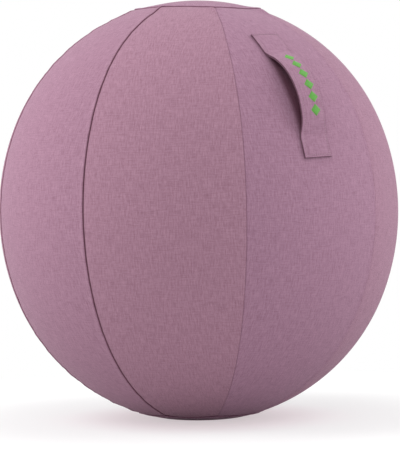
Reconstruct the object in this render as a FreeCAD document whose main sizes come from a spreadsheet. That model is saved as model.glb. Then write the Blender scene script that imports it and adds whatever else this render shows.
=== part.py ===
# Balance ball chair: an inflated ball in a sewn cloth cover of eight upright gores, an eight-sided crown
# and base, a carrying strap on the front gore and a zip in a rear seam.
# Millimetres and degrees. The origin is on the floor under the middle of the ball, +Z is up and the
# carrying strap is at -Y.
import FreeCAD, Part
import Sketcher
import math
import os

os.makedirs("parts", exist_ok=True)
doc = FreeCAD.newDocument("balance_ball_chair")
V = FreeCAD.Vector

# Driving sizes
sizes = {
    "equator_radius": 314.0,
    "arc_centre_offset": 53.0,  # the sides' upright curve is this much flatter than the equator
    "side_arc_half_angle": 22.0,
    "contact_radius": 42.0,  # flat patch where the ball stands
    "base_bend": 140.0,  # curve beside it
    "crown_apothem": 95.0,  # centre to flat side of the eight-sided crown and base
    "trim_allowance": 4.0,  # cloth past the eight sides before it is trimmed
    "cloth": 1.2,
    "seam_bevel": 0.9,  # turned edge of the cloth at a seam
    "layer_gap": 0.3,  # free play between soft layers
    "sewn_gap": 0.05,  # between layers that are sewn flat together
    "allowance_cloth": 0.8,  # pressed seam cloth and patches inside the cover
    "bladder_wall": 1.2,
    "valve_bore_radius": 4.0,
    "valve_tube_wall": 2.0,
    "valve_depth": 16.0,
    "valve_flange_radius": 17.0,
    "valve_flange": 2.0,
    "valve_collar_radius": 10.0,
    "plug_head_radius": 8.0,
    "plug_head": 1.0,
    "plug_head_bevel": 0.6,
    "plug_taper": 0.4,  # how much thinner the plug's tip is, in radius
    "valve_clearance": 0.05,  # round the plug and round the seat's collar
    "valve_flange_gap": 0.6,  # the flange is flat behind the curved wall
    "strap_width": 51.0,
    "strap_cloth": 1.1,
    "strap_core": 1.4,
    "strap_top_angle": 53.5,  # upper end, about the shoulder's centre
    "strap_lift_angle": 44.0,  # where the strap leaves the ball
    "strap_foot_angle": 17.0,  # where it comes back, about the side's centre
    "strap_end_angle": 12.1,
    "strap_lift_bend": 70.0,
    "strap_foot_bend": 16.0,
    "strap_bow_radius": 92.0,
    "strap_lean": 2.4,  # the strap leans a little to the left going up
    "patch_margin": 5.0,  # strap patches reach this far past the sewn ends
    "zip_top_angle": 20.0,  # upper end of the teeth, about the side's centre
    "zip_bottom_angle": 19.4,
    "zip_slot_half": 6.6,
    "zip_slot_margin": 1.6,  # slot past the teeth, in degrees
    "tape": 0.5,
    "tape_depth": 1.65,  # tape's middle, below the cover's face
    "tape_half_width": 15.0,
    "tape_tail": 1.9,  # tape past the teeth, in degrees
    "tooth_pitch": 4.0,
    "tooth_half_width": 3.5,
    "tooth_reach": 1.2,  # tooth past the middle of the chain
    "tooth_head": 2.2,
    "tooth_neck": 1.6,
    "tooth_tip": 1.5,
    "tooth_shank": 2.3,
    "tooth_height": 2.6,
    "tooth_root": 1.3,  # where the fork on the tape begins
    "tooth_clearance": 0.05,
    "slider_length": 14.0,
    "slider_plate": 1.1,
    "slider_wall": 1.0,
    "slider_shoulder": 1.4,  # extra half width at the open end
    "slider_clearance": 0.3,
    "slider_post_half_width": 0.8,
    "slider_post_length": 5.0,
    "slider_rest_gap": 0.3,  # slider's middle below the last tooth, in degrees
    "bridge_width": 1.8,
    "bridge_length": 6.4,
    "bridge_height": 3.2,
    "pull_pin_radius": 0.8,
    "pull_pin_clearance": 0.05,
    "pull_pin_height": 1.7,
    "pull_gap": 0.3,
    "pull_arm": 1.4,
    "pull_window": 4.6,
    "pull_length": 28.0,
    "pull_width": 9.0,
    "pull_thickness": 1.6,
    "pull_hole_radius": 2.2,
    "stop_length": 3.6,
    "stop_width": 1.6,
    "guard": 0.8,
    "guard_half_width": 17.0,
    "guard_floor_half_width": 9.0,
    "dent_play": 1.2,  # bladder's dent past the guard's sides
    "dent_end_play": 0.2,  # and past its ends, in degrees
}
sheet = doc.addObject("Spreadsheet::Sheet", "Sizes")
for row, (name, value) in enumerate(sizes.items(), start=1):
    sheet.set("A%d" % row, name)
    sheet.set("B%d" % row, str(value))
    sheet.setAlias("B%d" % row, name)

# Sizes that follow from the driving ones, kept in the same sheet as formulas
gores = 8
formulas = {
    "side_arc_radius": "=equator_radius + arc_centre_offset",
    "shoulder_radius": "=side_arc_radius - arc_centre_offset / cos(side_arc_half_angle)",
    "shoulder_rise": "=arc_centre_offset * tan(side_arc_half_angle)",
    "low_centre_height": "=base_bend + sqrt((shoulder_radius - base_bend) ^ 2 - contact_radius ^ 2)",
    "middle_height": "=low_centre_height + shoulder_rise",
    "top_centre_height": "=middle_height + shoulder_rise",
    "overall_height": "=top_centre_height + shoulder_radius",
    "inner_layer": "=cloth + allowance_cloth + layer_gap",
    "tooth_slider_cavity": "=tooth_height + 2 * slider_clearance",
}
for row, (name, text) in enumerate(formulas.items(), start=len(sizes) + 1):
    sheet.set("A%d" % row, name)
    sheet.set("B%d" % row, text)
    sheet.setAlias("B%d" % row, name)
doc.recompute()


class Size:
    # a number that remembers the sheet cells that it comes from
    def __init__(self, value, text):
        self.value = float(value)
        self.text = text

    def join(self, other, sign, swap=False):
        other = other if isinstance(other, Size) else Size(other, repr(float(other)))
        a, b = (other, self) if swap else (self, other)
        value = {"+": a.value + b.value, "-": a.value - b.value, "*": a.value * b.value}.get(sign)
        if sign == "/":
            value = a.value / b.value
        return Size(value, "(%s %s %s)" % (a.text, sign, b.text))

    def __add__(self, other):
        return self.join(other, "+")

    def __sub__(self, other):
        return self.join(other, "-")

    def __mul__(self, other):
        return self.join(other, "*")

    def __truediv__(self, other):
        return self.join(other, "/")

    def __radd__(self, other):
        return self.join(other, "+", swap=True)

    def __rsub__(self, other):
        return self.join(other, "-", swap=True)

    def __rmul__(self, other):
        return self.join(other, "*", swap=True)

    def __neg__(self):
        return self.join(0, "-", swap=True)

    def __float__(self):
        return self.value


def sine(angle):
    return Size(math.sin(math.radians(angle.value)), "sin(%s)" % angle.text)


def cosine(angle):
    return Size(math.cos(math.radians(angle.value)), "cos(%s)" % angle.text)


def root(size):
    return Size(math.sqrt(size.value), "sqrt(%s)" % size.text)


class Sheet:
    # sizes by name, such as at.cloth
    def __getattr__(self, name):
        return Size(sheet.get(name), "Sizes." + name)


at = Sheet()


# Building blocks

def plane_of(body, role):
    return next(o for o in body.Origin.OriginFeatures if o.Role == role)


def new_body(label, base=(0, 0, 0), azimuth=0.0, tilt=0.0):
    # tilt turns the piece down about its own sideways axis before it is turned to its azimuth
    body = doc.addObject("PartDesign::Body", label)
    body.Label = label
    turn = FreeCAD.Rotation(V(0, 0, 1), azimuth)
    body.Placement = FreeCAD.Placement(V(*[float(c) for c in base]), turn * FreeCAD.Rotation(V(0, 1, 0), tilt))
    return body


def new_sketch(body, name, role, lift=0.0, turn=0.0):
    sketch = body.newObject("Sketcher::SketchObject", name)
    sketch.AttachmentSupport = (plane_of(body, role), [""])
    sketch.MapMode = "FlatFace"
    sketch.AttachmentOffset = FreeCAD.Placement(V(0, 0, float(lift)), FreeCAD.Rotation(V(0, 0, 1), turn))
    if isinstance(lift, Size):
        sketch.setExpression(".AttachmentOffset.Base.z", lift.text)
    return sketch


def pin_value(sketch, kind, geometry, position, value):
    if float(value) == 0:
        axis = -2 if kind == "DistanceX" else -1
        sketch.addConstraint(Sketcher.Constraint("PointOnObject", geometry, position, axis))
        return
    index = sketch.addConstraint(Sketcher.Constraint(kind, -1, 1, geometry, position, float(value)))
    if isinstance(value, Size):
        sketch.setExpression("Constraints[%d]" % index, value.text)


def outline(sketch, points):
    # a closed outline; a point's third value is the radius of the arc to the next point, which turns
    # to the left when it is positive and to the right when it is negative
    ids = []
    for i, point in enumerate(points):
        x1, y1 = float(point[0]), float(point[1])
        x2, y2 = (float(c) for c in points[(i + 1) % len(points)][:2])
        bend = float(point[2]) if len(point) > 2 and point[2] is not None else 0.0
        if not bend:
            ids.append(sketch.addGeometry(Part.LineSegment(V(x1, y1, 0), V(x2, y2, 0))))
            continue
        chord = math.hypot(x2 - x1, y2 - y1)
        rise = math.copysign(math.sqrt(bend * bend - chord * chord / 4), bend) / chord
        cx, cy = (x1 + x2) / 2 - rise * (y2 - y1), (y1 + y2) / 2 + rise * (x2 - x1)
        start, end = math.atan2(y1 - cy, x1 - cx), math.atan2(y2 - cy, x2 - cx)
        if bend < 0:
            start, end = end, start
        whole = Part.Circle(V(cx, cy, 0), V(0, 0, 1), abs(bend))
        ids.append(sketch.addGeometry(Part.ArcOfCircle(whole, start, end)))
    ends = []
    for i, point in enumerate(points):
        right = len(point) > 2 and point[2] is not None and float(point[2]) < 0
        ends.append((2, 1) if right else (1, 2))
    for i, point in enumerate(points):
        after = (i + 1) % len(points)
        sketch.addConstraint(Sketcher.Constraint("Coincident", ids[i], ends[i][1], ids[after], ends[after][0]))
        pin_value(sketch, "DistanceX", ids[i], ends[i][0], point[0])
        pin_value(sketch, "DistanceY", ids[i], ends[i][0], point[1])
        if len(point) > 2 and point[2] is not None:
            radius = point[2] if float(point[2]) > 0 else -point[2]
            index = sketch.addConstraint(Sketcher.Constraint("Radius", ids[i], float(radius)))
            if isinstance(radius, Size):
                sketch.setExpression("Constraints[%d]" % index, radius.text)


def circle(sketch, x, y, radius):
    centre = V(float(x), float(y), 0)
    index = sketch.addGeometry(Part.Circle(centre, V(0, 0, 1), float(radius)))
    pin_value(sketch, "DistanceX", index, 3, x)
    pin_value(sketch, "DistanceY", index, 3, y)
    at_radius = sketch.addConstraint(Sketcher.Constraint("Radius", index, float(radius)))
    sketch.setExpression("Constraints[%d]" % at_radius, radius.text)


def both_sides(points):
    # an outline that is the same left and right of the vertical axis, from its right half
    return points + [(-p[0], p[1]) for p in reversed(points) if float(p[0]) != 0]


def set_size(feature, name, value):
    setattr(feature, name, float(value))
    if isinstance(value, Size):
        feature.setExpression(name, value.text)


def pad(body, sketch, length, middle=False, back=False):
    feature = body.newObject("PartDesign::Pad", sketch.Name + "_pad")
    feature.Profile = sketch
    set_size(feature, "Length", length)
    feature.SideType = "Symmetric" if middle else "One side"
    feature.Reversed = back
    doc.recompute()
    return feature


def cut(body, sketch, length=None, middle=False, back=False):
    # a pocket, through everything when no length is given; it must take something away
    before = body.Shape.Volume
    feature = body.newObject("PartDesign::Pocket", sketch.Name + "_cut")
    feature.Profile = sketch
    if length is None:
        feature.Type = "ThroughAll"
    else:
        set_size(feature, "Length", length)
    feature.SideType = "Symmetric" if middle else "One side"
    feature.Reversed = back
    doc.recompute()
    if not body.Shape.Volume < before:
        raise RuntimeError("%s cuts nothing" % feature.Name)
    return feature


def turned(body, sketch, angle=360.0, other_angle=None, back=False, axis="V_Axis", kind="Revolution"):
    feature = body.newObject("PartDesign::" + kind, sketch.Name + "_turn")
    feature.Profile = sketch
    feature.ReferenceAxis = (sketch, [axis])
    set_size(feature, "Angle", angle)
    if other_angle is not None:
        feature.Type = "TwoAngles"
        set_size(feature, "Angle2", other_angle)
    feature.Reversed = back
    doc.recompute()
    return feature


def bevel(body, size, wanted):
    # bevels the edges that the test picks
    tip = body.Tip
    names = ["Edge%d" % (i + 1) for i, edge in enumerate(tip.Shape.Edges) if wanted(edge)]
    feature = body.newObject("PartDesign::Chamfer", body.Name + "_bevel")
    feature.Base = (tip, names)
    set_size(feature, "Size", size)
    doc.recompute()
    return feature


# Outline of the inflated ball, as points and arcs in an upright half plane

side_cos, side_sin = cosine(at.side_arc_half_angle), sine(at.side_arc_half_angle)
gore_angle = 360.0 / gores
half_gore = math.radians(gore_angle / 2)
crown_corner = at.crown_apothem / math.cos(half_gore)
trim_start = at.crown_apothem - at.trim_allowance
trim_end = crown_corner + at.trim_allowance


def shoulder_reach(x, depth):
    # how far from its centre's height a shoulder's skin is, a depth below its face
    return root((at.shoulder_radius - depth) * (at.shoulder_radius - depth) - x * x)


def base_height(x, depth):
    return at.low_centre_height - shoulder_reach(x, depth)


def crown_height(x, depth):
    return at.top_centre_height + shoulder_reach(x, depth)


def bend_end(depth):
    # where the bend beside the contact patch meets the lower shoulder
    share = (at.shoulder_radius - depth) / (at.shoulder_radius - at.base_bend)
    return at.contact_radius * share, at.low_centre_height - share * (at.low_centre_height - at.base_bend)


def ball_chain(depth, low=None, high=None):
    # from the bottom to the top, a depth below the face; low and high are distances from the axis
    run = at.shoulder_radius - depth
    side = at.side_arc_radius - depth
    start = [(0.0, depth), (at.contact_radius, depth, at.base_bend - depth), bend_end(depth) + (run,)]
    if low is not None:
        start = [(low, base_height(low, depth), run)]
    end = (0.0, at.overall_height - depth) if high is None else (high, crown_height(high, depth))
    side_x = side * side_cos - at.arc_centre_offset
    return start + [
        (side_x, at.middle_height - side * side_sin, side),
        (side_x, at.middle_height + side * side_sin, run),
        end,
    ]


def backwards(points):
    # the same points from the last to the first, with their arcs
    bends = [None if len(p) < 3 or p[2] is None else -p[2] for p in points]
    return [points[i][:2] + ((bends[i - 1],) if i and bends[i - 1] is not None else ())
            for i in range(len(points) - 1, -1, -1)]


# Cover: eight gores

gore_names = ["panel_front", "panel_front_right", "panel_right", "panel_back_right",
              "panel_back", "panel_back_left", "panel_left", "panel_front_left"]
front_azimuth = -90.0
zip_gore = 4  # the zip closes the seam before this gore, away from the strap
zip_azimuth = front_azimuth + (zip_gore - 0.5) * gore_angle
edge_tolerance = 1e-4


def gore_panel(label, azimuth, turn, with_zip):
    # built from one seam, which lies in its own XZ plane; turn says to which side the cloth goes
    body = new_body(label, azimuth=azimuth)
    wall = new_sketch(body, label + "_wall", "XZ_Plane")
    outline(wall, ball_chain(0.0, trim_start, trim_start)
            + backwards(ball_chain(at.cloth, trim_start, trim_start)))
    turned(body, wall, gore_angle, back=turn < 0)
    trim = new_sketch(body, label + "_trim", "XY_Plane")
    nx, ny = math.cos(half_gore), turn * math.sin(half_gore)
    outline(trim, [(at.crown_apothem * nx * along + crown_corner * ny * across,
                    at.crown_apothem * ny * along - crown_corner * nx * across)
                   for along, across in ((1, 1), (1, -1), (-1, -1), (-1, 1))])
    cut(body, trim, middle=True)
    if with_zip:
        slot = new_sketch(body, label + "_slot", "XZ_Plane")
        outline(slot, slot_points())
        cut(body, slot, at.zip_slot_half, back=turn < 0)
    bevel(body, at.seam_bevel, lambda edge: on_face(edge) and on_seam(edge, turn))
    return body


def middle_of(edge):
    return edge.valueAt((edge.FirstParameter + edge.LastParameter) / 2)


def on_face(edge):
    # whether an edge lies on the ball's outer face
    point = middle_of(edge)
    out = math.hypot(point.x, point.y)
    side = at.side_arc_radius.value
    reach = math.hypot(out + at.arc_centre_offset.value, point.z - at.middle_height.value)
    if abs(point.z - at.middle_height.value) <= side * side_sin.value + edge_tolerance:
        return abs(reach - side) < edge_tolerance
    upper = point.z > at.middle_height.value
    centre = at.top_centre_height.value if upper else at.low_centre_height.value
    return abs(math.hypot(out, point.z - centre) - at.shoulder_radius.value) < edge_tolerance


def on_seam(edge, turn):
    # whether an edge runs along a seam of its gore and not across it
    point = middle_of(edge)
    azimuth = math.degrees(math.atan2(point.y * turn, point.x))
    along_side = min(abs(azimuth), abs(azimuth - gore_angle)) < edge_tolerance
    crown_side = abs(point.x * math.cos(half_gore) + point.y * turn * math.sin(half_gore)
                     - at.crown_apothem.value) < edge_tolerance
    return along_side or crown_side


def slot_points():
    # the zip's slot, wider than the cloth both ways, between its two end angles
    up, down = at.zip_top_angle + at.zip_slot_margin, at.zip_bottom_angle + at.zip_slot_margin
    inner, outer = at.side_arc_radius - at.zip_slot_half, at.side_arc_radius + at.zip_slot_half

    def spot(radius, angle, sign):
        return (radius * cosine(angle) - at.arc_centre_offset, at.middle_height + sign * radius * sine(angle))

    return [spot(inner, down, -1), spot(outer, down, -1) + (outer,), spot(outer, up, 1),
            spot(inner, up, 1) + (-inner,)]


for index, name in enumerate(gore_names):
    start = front_azimuth + (index - 0.5) * gore_angle
    at_zip_end = index == zip_gore - 1
    gore_panel(name, start + gore_angle if at_zip_end else start, -1 if at_zip_end else 1,
               index in (zip_gore - 1, zip_gore))
doc.recompute()


# Cover: crown and base, eight-sided

def eight_sides(sketch):
    # the eight-sided edge inside a wider circle, so that a cut leaves the panel within the eight sides
    circle(sketch, 0.0, 0.0, trim_end + at.trim_allowance)
    corners = []
    for side in range(gores):
        azimuth = math.radians((side + 0.5) * gore_angle)
        corners.append((at.crown_apothem * (math.cos(azimuth) / math.cos(half_gore)),
                        at.crown_apothem * (math.sin(azimuth) / math.cos(half_gore))))
    outline(sketch, corners)


def crown_side_edge(edge):
    point = middle_of(edge)
    azimuth = math.atan2(point.y, point.x)
    nearest = round(math.degrees(azimuth) / gore_angle) * gore_angle
    out = math.hypot(point.x, point.y) * math.cos(azimuth - math.radians(nearest))
    return abs(out - at.crown_apothem.value) < edge_tolerance and on_face(edge)


for name, crown in (("top_panel", True), ("base_panel", False)):
    body = new_body(name)
    wall = new_sketch(body, name + "_wall", "XZ_Plane")
    if crown:
        outline(wall, [
            (trim_end, crown_height(trim_end, 0.0), at.shoulder_radius),
            (0.0, at.overall_height),
            (0.0, at.overall_height - at.cloth, -(at.shoulder_radius - at.cloth)),
            (trim_end, crown_height(trim_end, at.cloth)),
        ])
    else:
        outline(wall, [
            (0.0, 0.0),
            (at.contact_radius, 0.0, at.base_bend),
            bend_end(0.0) + (at.shoulder_radius,),
            (trim_end, base_height(trim_end, 0.0)),
            (trim_end, base_height(trim_end, at.cloth), -(at.shoulder_radius - at.cloth)),
            bend_end(at.cloth) + (-(at.base_bend - at.cloth),),
            (at.contact_radius, at.cloth),
            (0.0, at.cloth),
        ])
    turned(body, wall)
    trim = new_sketch(body, name + "_trim", "XY_Plane")
    eight_sides(trim)
    cut(body, trim, middle=True)
    bevel(body, at.seam_bevel, crown_side_edge)


# Inflated bladder inside the cover, pressed in where the zip and its guard lie behind the seam

valve_azimuth = -front_azimuth
guard_top = at.tape_depth + at.tape / 2 + at.sewn_gap
guard_floor = at.tape_depth + at.tooth_slider_cavity / 2 + at.slider_plate + at.layer_gap
dent_floor = guard_floor + at.guard + at.layer_gap
guard_bend = at.guard_floor_half_width + guard_floor - guard_top
dent_half = at.guard_half_width + at.dent_play
dent_floor_half = at.guard_floor_half_width + at.dent_play
dent_edge = guard_top + at.guard + at.layer_gap + dent_half * dent_half / (2 * at.equator_radius)
dent_up = at.zip_top_angle + at.tape_tail + at.dent_end_play
dent_down = at.zip_bottom_angle + at.tape_tail + at.dent_end_play

bladder = new_body("bladder", azimuth=valve_azimuth)
skin = new_sketch(bladder, "bladder_skin", "XZ_Plane")
outline(skin, ball_chain(at.inner_layer) + backwards(ball_chain(at.inner_layer + at.bladder_wall)))
turned(bladder, skin)


def dent_sketch(name, points):
    # a section across the zip, in a level plane at mid height turned to the zip
    sketch = new_sketch(bladder, name, "XY_Plane", at.middle_height, zip_azimuth - valve_azimuth)
    outline(sketch, points)
    axis = sketch.addGeometry(Part.LineSegment(V(-float(at.arc_centre_offset), -1, 0),
                                               V(-float(at.arc_centre_offset), 1, 0)), True)
    sketch.addConstraint(Sketcher.Constraint("Vertical", axis))
    pin_value(sketch, "DistanceX", axis, 1, -at.arc_centre_offset)
    pin_value(sketch, "DistanceY", axis, 1, -1.0)
    pin_value(sketch, "DistanceY", axis, 2, 1.0)
    return sketch


def out_at(depth):
    # distance from the axis at mid height, a depth below the face
    return at.equator_radius - depth


dent_wall = dent_sketch("bladder_dent_wall", [
    (out_at(at.inner_layer + at.bladder_wall / 2), -dent_half - at.bladder_wall),
    (out_at(at.inner_layer + at.bladder_wall / 2), dent_half + at.bladder_wall),
    (out_at(dent_edge + at.bladder_wall), dent_half + at.bladder_wall),
    (out_at(dent_floor + at.bladder_wall), dent_floor_half + at.bladder_wall),
    (out_at(dent_floor + at.bladder_wall), -dent_floor_half - at.bladder_wall),
    (out_at(dent_edge + at.bladder_wall), -dent_half - at.bladder_wall),
])
wall_angle = math.degrees(at.bladder_wall.value / at.side_arc_radius.value)
turned(bladder, dent_wall, dent_down + wall_angle, dent_up + wall_angle, axis="Axis0")
dent = dent_sketch("bladder_dent", [
    (out_at(at.inner_layer - at.layer_gap), -dent_half),
    (out_at(at.inner_layer - at.layer_gap), dent_half),
    (out_at(dent_edge), dent_half),
    (out_at(dent_floor), dent_floor_half),
    (out_at(dent_floor), -dent_floor_half),
    (out_at(dent_edge), -dent_half),
])
full_volume = bladder.Shape.Volume
turned(bladder, dent, dent_down, dent_up, axis="Axis0", kind="Groove")
if not bladder.Shape.Volume < full_volume:
    raise RuntimeError("the dent cuts nothing")
valve_hole = new_sketch(bladder, "bladder_valve_hole", "YZ_Plane")
circle(valve_hole, 0.0, at.middle_height, at.valve_collar_radius + at.valve_clearance)
cut(bladder, valve_hole, back=True)

# Valve: a moulded seat in the bladder's wall and its plug, on the side away from the strap
valve_face = at.equator_radius - at.inner_layer
valve_place = (0.0, valve_face, at.middle_height)
collar_depth = at.bladder_wall + at.valve_flange_gap
seat = new_body("valve_seat", valve_place, valve_azimuth)
seat_section = new_sketch(seat, "valve_seat_section", "XZ_Plane")
tube = at.valve_bore_radius + at.valve_tube_wall
outline(seat_section, [
    (-at.layer_gap, at.valve_bore_radius),
    (-at.layer_gap, at.valve_collar_radius),
    (-collar_depth, at.valve_collar_radius),
    (-collar_depth, at.valve_flange_radius),
    (-collar_depth - at.valve_flange, at.valve_flange_radius),
    (-collar_depth - at.valve_flange, tube),
    (-at.valve_depth, tube),
    (-at.valve_depth, at.valve_bore_radius - at.plug_taper),
])
turned(seat, seat_section, axis="H_Axis")
plug = new_body("valve_plug", valve_place, valve_azimuth)
plug_section = new_sketch(plug, "valve_plug_section", "XZ_Plane")
plug_radius = at.valve_bore_radius - at.valve_clearance
outline(plug_section, [
    (-at.valve_depth, 0.0),
    (-at.valve_depth, plug_radius - at.plug_taper),
    (-at.layer_gap, plug_radius),
    (-at.layer_gap, at.plug_head_radius),
    (at.plug_head - at.layer_gap, at.plug_head_radius - at.plug_head_bevel),
    (at.plug_head - at.layer_gap, 0.0),
])
turned(plug, plug_section, axis="H_Axis")
doc.recompute()


# Carrying strap: three sewn layers that lie on the ball at both ends and bow out between them. Each
# stretch of its run is an arc in the upright plane of the front gore, so each layer is one section
# turned about one centre after another.

def spot(centre, reach, angle):
    return centre + V(math.cos(math.radians(angle)), 0, math.sin(math.radians(angle))) * reach


def angle_of(vector):
    return math.degrees(math.atan2(vector.z, vector.x))


shoulder_centre = V(0, 0, at.top_centre_height.value)
side_centre = V(-at.arc_centre_offset.value, 0, at.middle_height.value)
lift_bend, foot_bend, bow = at.strap_lift_bend.value, at.strap_foot_bend.value, at.strap_bow_radius.value
lift_angle, foot_angle = at.strap_lift_angle.value, at.strap_foot_angle.value
lift_centre = spot(shoulder_centre, at.shoulder_radius.value + lift_bend, lift_angle)
foot_centre = spot(side_centre, at.side_arc_radius.value + foot_bend, foot_angle)
between = foot_centre - lift_centre
along = (between.Length ** 2 + (lift_bend + bow) ** 2 - (foot_bend + bow) ** 2) / (2 * between.Length)
inward = between.cross(V(0, 1, 0)).normalize()
bow_centre = (lift_centre + V(between).normalize() * along
              + inward * -math.sqrt((lift_bend + bow) ** 2 - along ** 2))
if bow_centre.Length > lift_centre.Length:
    bow_centre = bow_centre + inward * 2 * math.sqrt((lift_bend + bow) ** 2 - along ** 2)
strap_foot = spot(side_centre, at.side_arc_radius.value, at.strap_end_angle.value)
bow_start, bow_end = angle_of(lift_centre - bow_centre), angle_of(foot_centre - bow_centre)
strap_run = [
    (shoulder_centre, at.strap_top_angle.value - lift_angle),
    (lift_centre, lift_angle - bow_start),
    (bow_centre, bow_start - bow_end),
    (foot_centre, bow_end - foot_angle),
    (side_centre, foot_angle - at.strap_end_angle.value),
]


def ribbon(label, low, high, half_width, centre, radius, start_angle, run):
    # a layer from low to high above the ball's face, from its upper end down, curved across like the ball
    across = at.shoulder_radius.value

    def corner(height, side):
        slope = math.asin(half_width / across)
        return V(radius - across + (across + height) * math.cos(slope),
                 side * (across + height) * math.sin(slope), 0)

    def rim(height, first, last):
        return Part.Arc(corner(height, first), V(radius + height, 0, 0), corner(height, last)).toShape()

    edges = [rim(low, -1, 1), Part.LineSegment(corner(low, 1), corner(high, 1)).toShape(),
             rim(high, 1, -1), Part.LineSegment(corner(high, -1), corner(low, -1)).toShape()]
    section = Part.Face(Part.Wire(edges))
    section.Placement = FreeCAD.Placement(centre, FreeCAD.Rotation(V(0, 1, 0), -start_angle))
    stretches = []
    for turn_centre, angle in run:
        stretches.append(section.revolve(turn_centre, V(0, 1, 0), angle))
        section.rotate(turn_centre, V(0, 1, 0), angle)
    feature = doc.addObject("Part::Feature", label)
    feature.Label = label
    feature.Shape = stretches[0].multiFuse(stretches[1:]) if stretches[1:] else stretches[0]
    lean = FreeCAD.Placement(V(0, 0, 0), FreeCAD.Rotation(strap_foot - shoulder_centre, at.strap_lean.value),
                             shoulder_centre)
    feature.Placement = FreeCAD.Placement(V(0, 0, 0), FreeCAD.Rotation(V(0, 0, 1), front_azimuth)) * lean
    return feature


half_strap = at.strap_width.value / 2
strap_start = (shoulder_centre, at.shoulder_radius.value, at.strap_top_angle.value)
layer_floor = at.sewn_gap.value
for name, thickness in (("handle_lining", at.strap_cloth.value), ("handle_core", at.strap_core.value),
                        ("handle_strap", at.strap_cloth.value)):
    ribbon(name, layer_floor, layer_floor + thickness, half_strap, *strap_start, strap_run)
    layer_floor += thickness + at.sewn_gap.value

# Patches inside the cover that carry the strap's stitches
patch_top = -(at.cloth + at.sewn_gap).value
patch_low = patch_top - at.allowance_cloth.value
margin = at.patch_margin.value
half_patch = half_strap + margin
shoulder_margin = math.degrees(margin / at.shoulder_radius.value)
side_margin = math.degrees(margin / at.side_arc_radius.value)
ribbon("handle_patch_upper", patch_low, patch_top, half_patch, shoulder_centre, at.shoulder_radius.value,
       at.strap_top_angle.value + shoulder_margin,
       [(shoulder_centre, at.strap_top_angle.value - lift_angle + 2 * shoulder_margin)])
ribbon("handle_patch_lower", patch_low, patch_top, half_patch, side_centre, at.side_arc_radius.value,
       foot_angle + side_margin, [(side_centre, foot_angle - at.strap_end_angle.value + 2 * side_margin)])


# Zip in the rear seam. Its pieces are built about the centre of the side's upright arc: X is outward
# through the zip, Y is across it and Z is up.

zip_turn = FreeCAD.Rotation(V(0, 0, 1), zip_azimuth)
zip_centre = zip_turn.multVec(V(-at.arc_centre_offset.value, 0, 0)) + V(0, 0, at.middle_height.value)
chain_radius = at.side_arc_radius - at.tape_depth
tape_down = at.zip_bottom_angle + at.tape_tail
tape_up = at.zip_top_angle + at.tape_tail


def across_zip(depth, y, side=1):
    # a point below the ball's face beside the zip, at mid height
    inner = at.equator_radius - depth
    return (at.arc_centre_offset + root(inner * inner - y * y), side * y)


pitch_angle = math.degrees(at.tooth_pitch.value / chain_radius.value)
teeth = int((at.zip_top_angle + at.zip_bottom_angle).value / pitch_angle)
slit_half = at.tape / 2 + at.tooth_clearance  # slit in a tooth or a stop that the tape fills

for name, side in (("left", -1), ("right", 1)):
    tape_body = new_body("zip_tape_" + name, zip_centre, zip_azimuth)
    tape_section = new_sketch(tape_body, tape_body.Name + "_section", "XY_Plane")
    tape_edge, tape_rim = at.tooth_root + at.tooth_clearance, at.tape_half_width
    tape_in, tape_out = at.tape_depth + at.tape / 2, at.tape_depth - at.tape / 2
    outline(tape_section, [
        across_zip(tape_in, tape_edge, side),
        across_zip(tape_out, tape_edge, side) + (side * (at.equator_radius - tape_out),),
        across_zip(tape_out, tape_rim, side),
        across_zip(tape_in, tape_rim, side) + (-side * (at.equator_radius - tape_in),),
    ])
    turned(tape_body, tape_section, tape_down, tape_up)

    # One fork-shaped tooth on the tape's edge, at the height of the arc's centre
    tooth = new_body("tooth_" + name)
    plan = new_sketch(tooth, tooth.Name + "_plan", "YZ_Plane", chain_radius - at.tooth_height / 2)
    knee = at.tooth_reach / 2
    outline(plan, [
        (-side * at.tooth_reach, -at.tooth_tip / 2),
        (-side * knee, -at.tooth_head / 2),
        (side * knee, -at.tooth_neck / 2),
        (side * at.tooth_half_width, -at.tooth_shank / 2),
        (side * at.tooth_half_width, at.tooth_shank / 2),
        (side * knee, at.tooth_neck / 2),
        (-side * knee, at.tooth_head / 2),
        (-side * at.tooth_reach, at.tooth_tip / 2),
    ])
    pad(tooth, plan, at.tooth_height)
    fork = new_sketch(tooth, tooth.Name + "_fork", "XY_Plane")
    outline(fork, [
        (chain_radius - slit_half, side * at.tooth_root),
        (chain_radius + slit_half, side * at.tooth_root),
        (chain_radius + slit_half, side * 2 * at.tooth_half_width),
        (chain_radius - slit_half, side * 2 * at.tooth_half_width),
    ])
    cut(tooth, fork, 4 * at.tooth_shank, middle=True)

    # The row repeats it along the arc from the lower end up; the two rows are half a pitch apart
    copies = []
    for count in range(teeth):
        drop = at.zip_bottom_angle.value - pitch_angle * (count + 0.5 - side / 4)
        copy = tooth.Shape.copy()
        copy.rotate(V(0, 0, 0), V(0, 1, 0), drop)
        copies.append(copy)
    row = doc.addObject("Part::Feature", "zip_teeth_" + name)
    row.Label = "zip_teeth_" + name
    row.Shape = Part.makeCompound(copies)
    row.Placement = FreeCAD.Placement(zip_centre, zip_turn)

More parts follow.
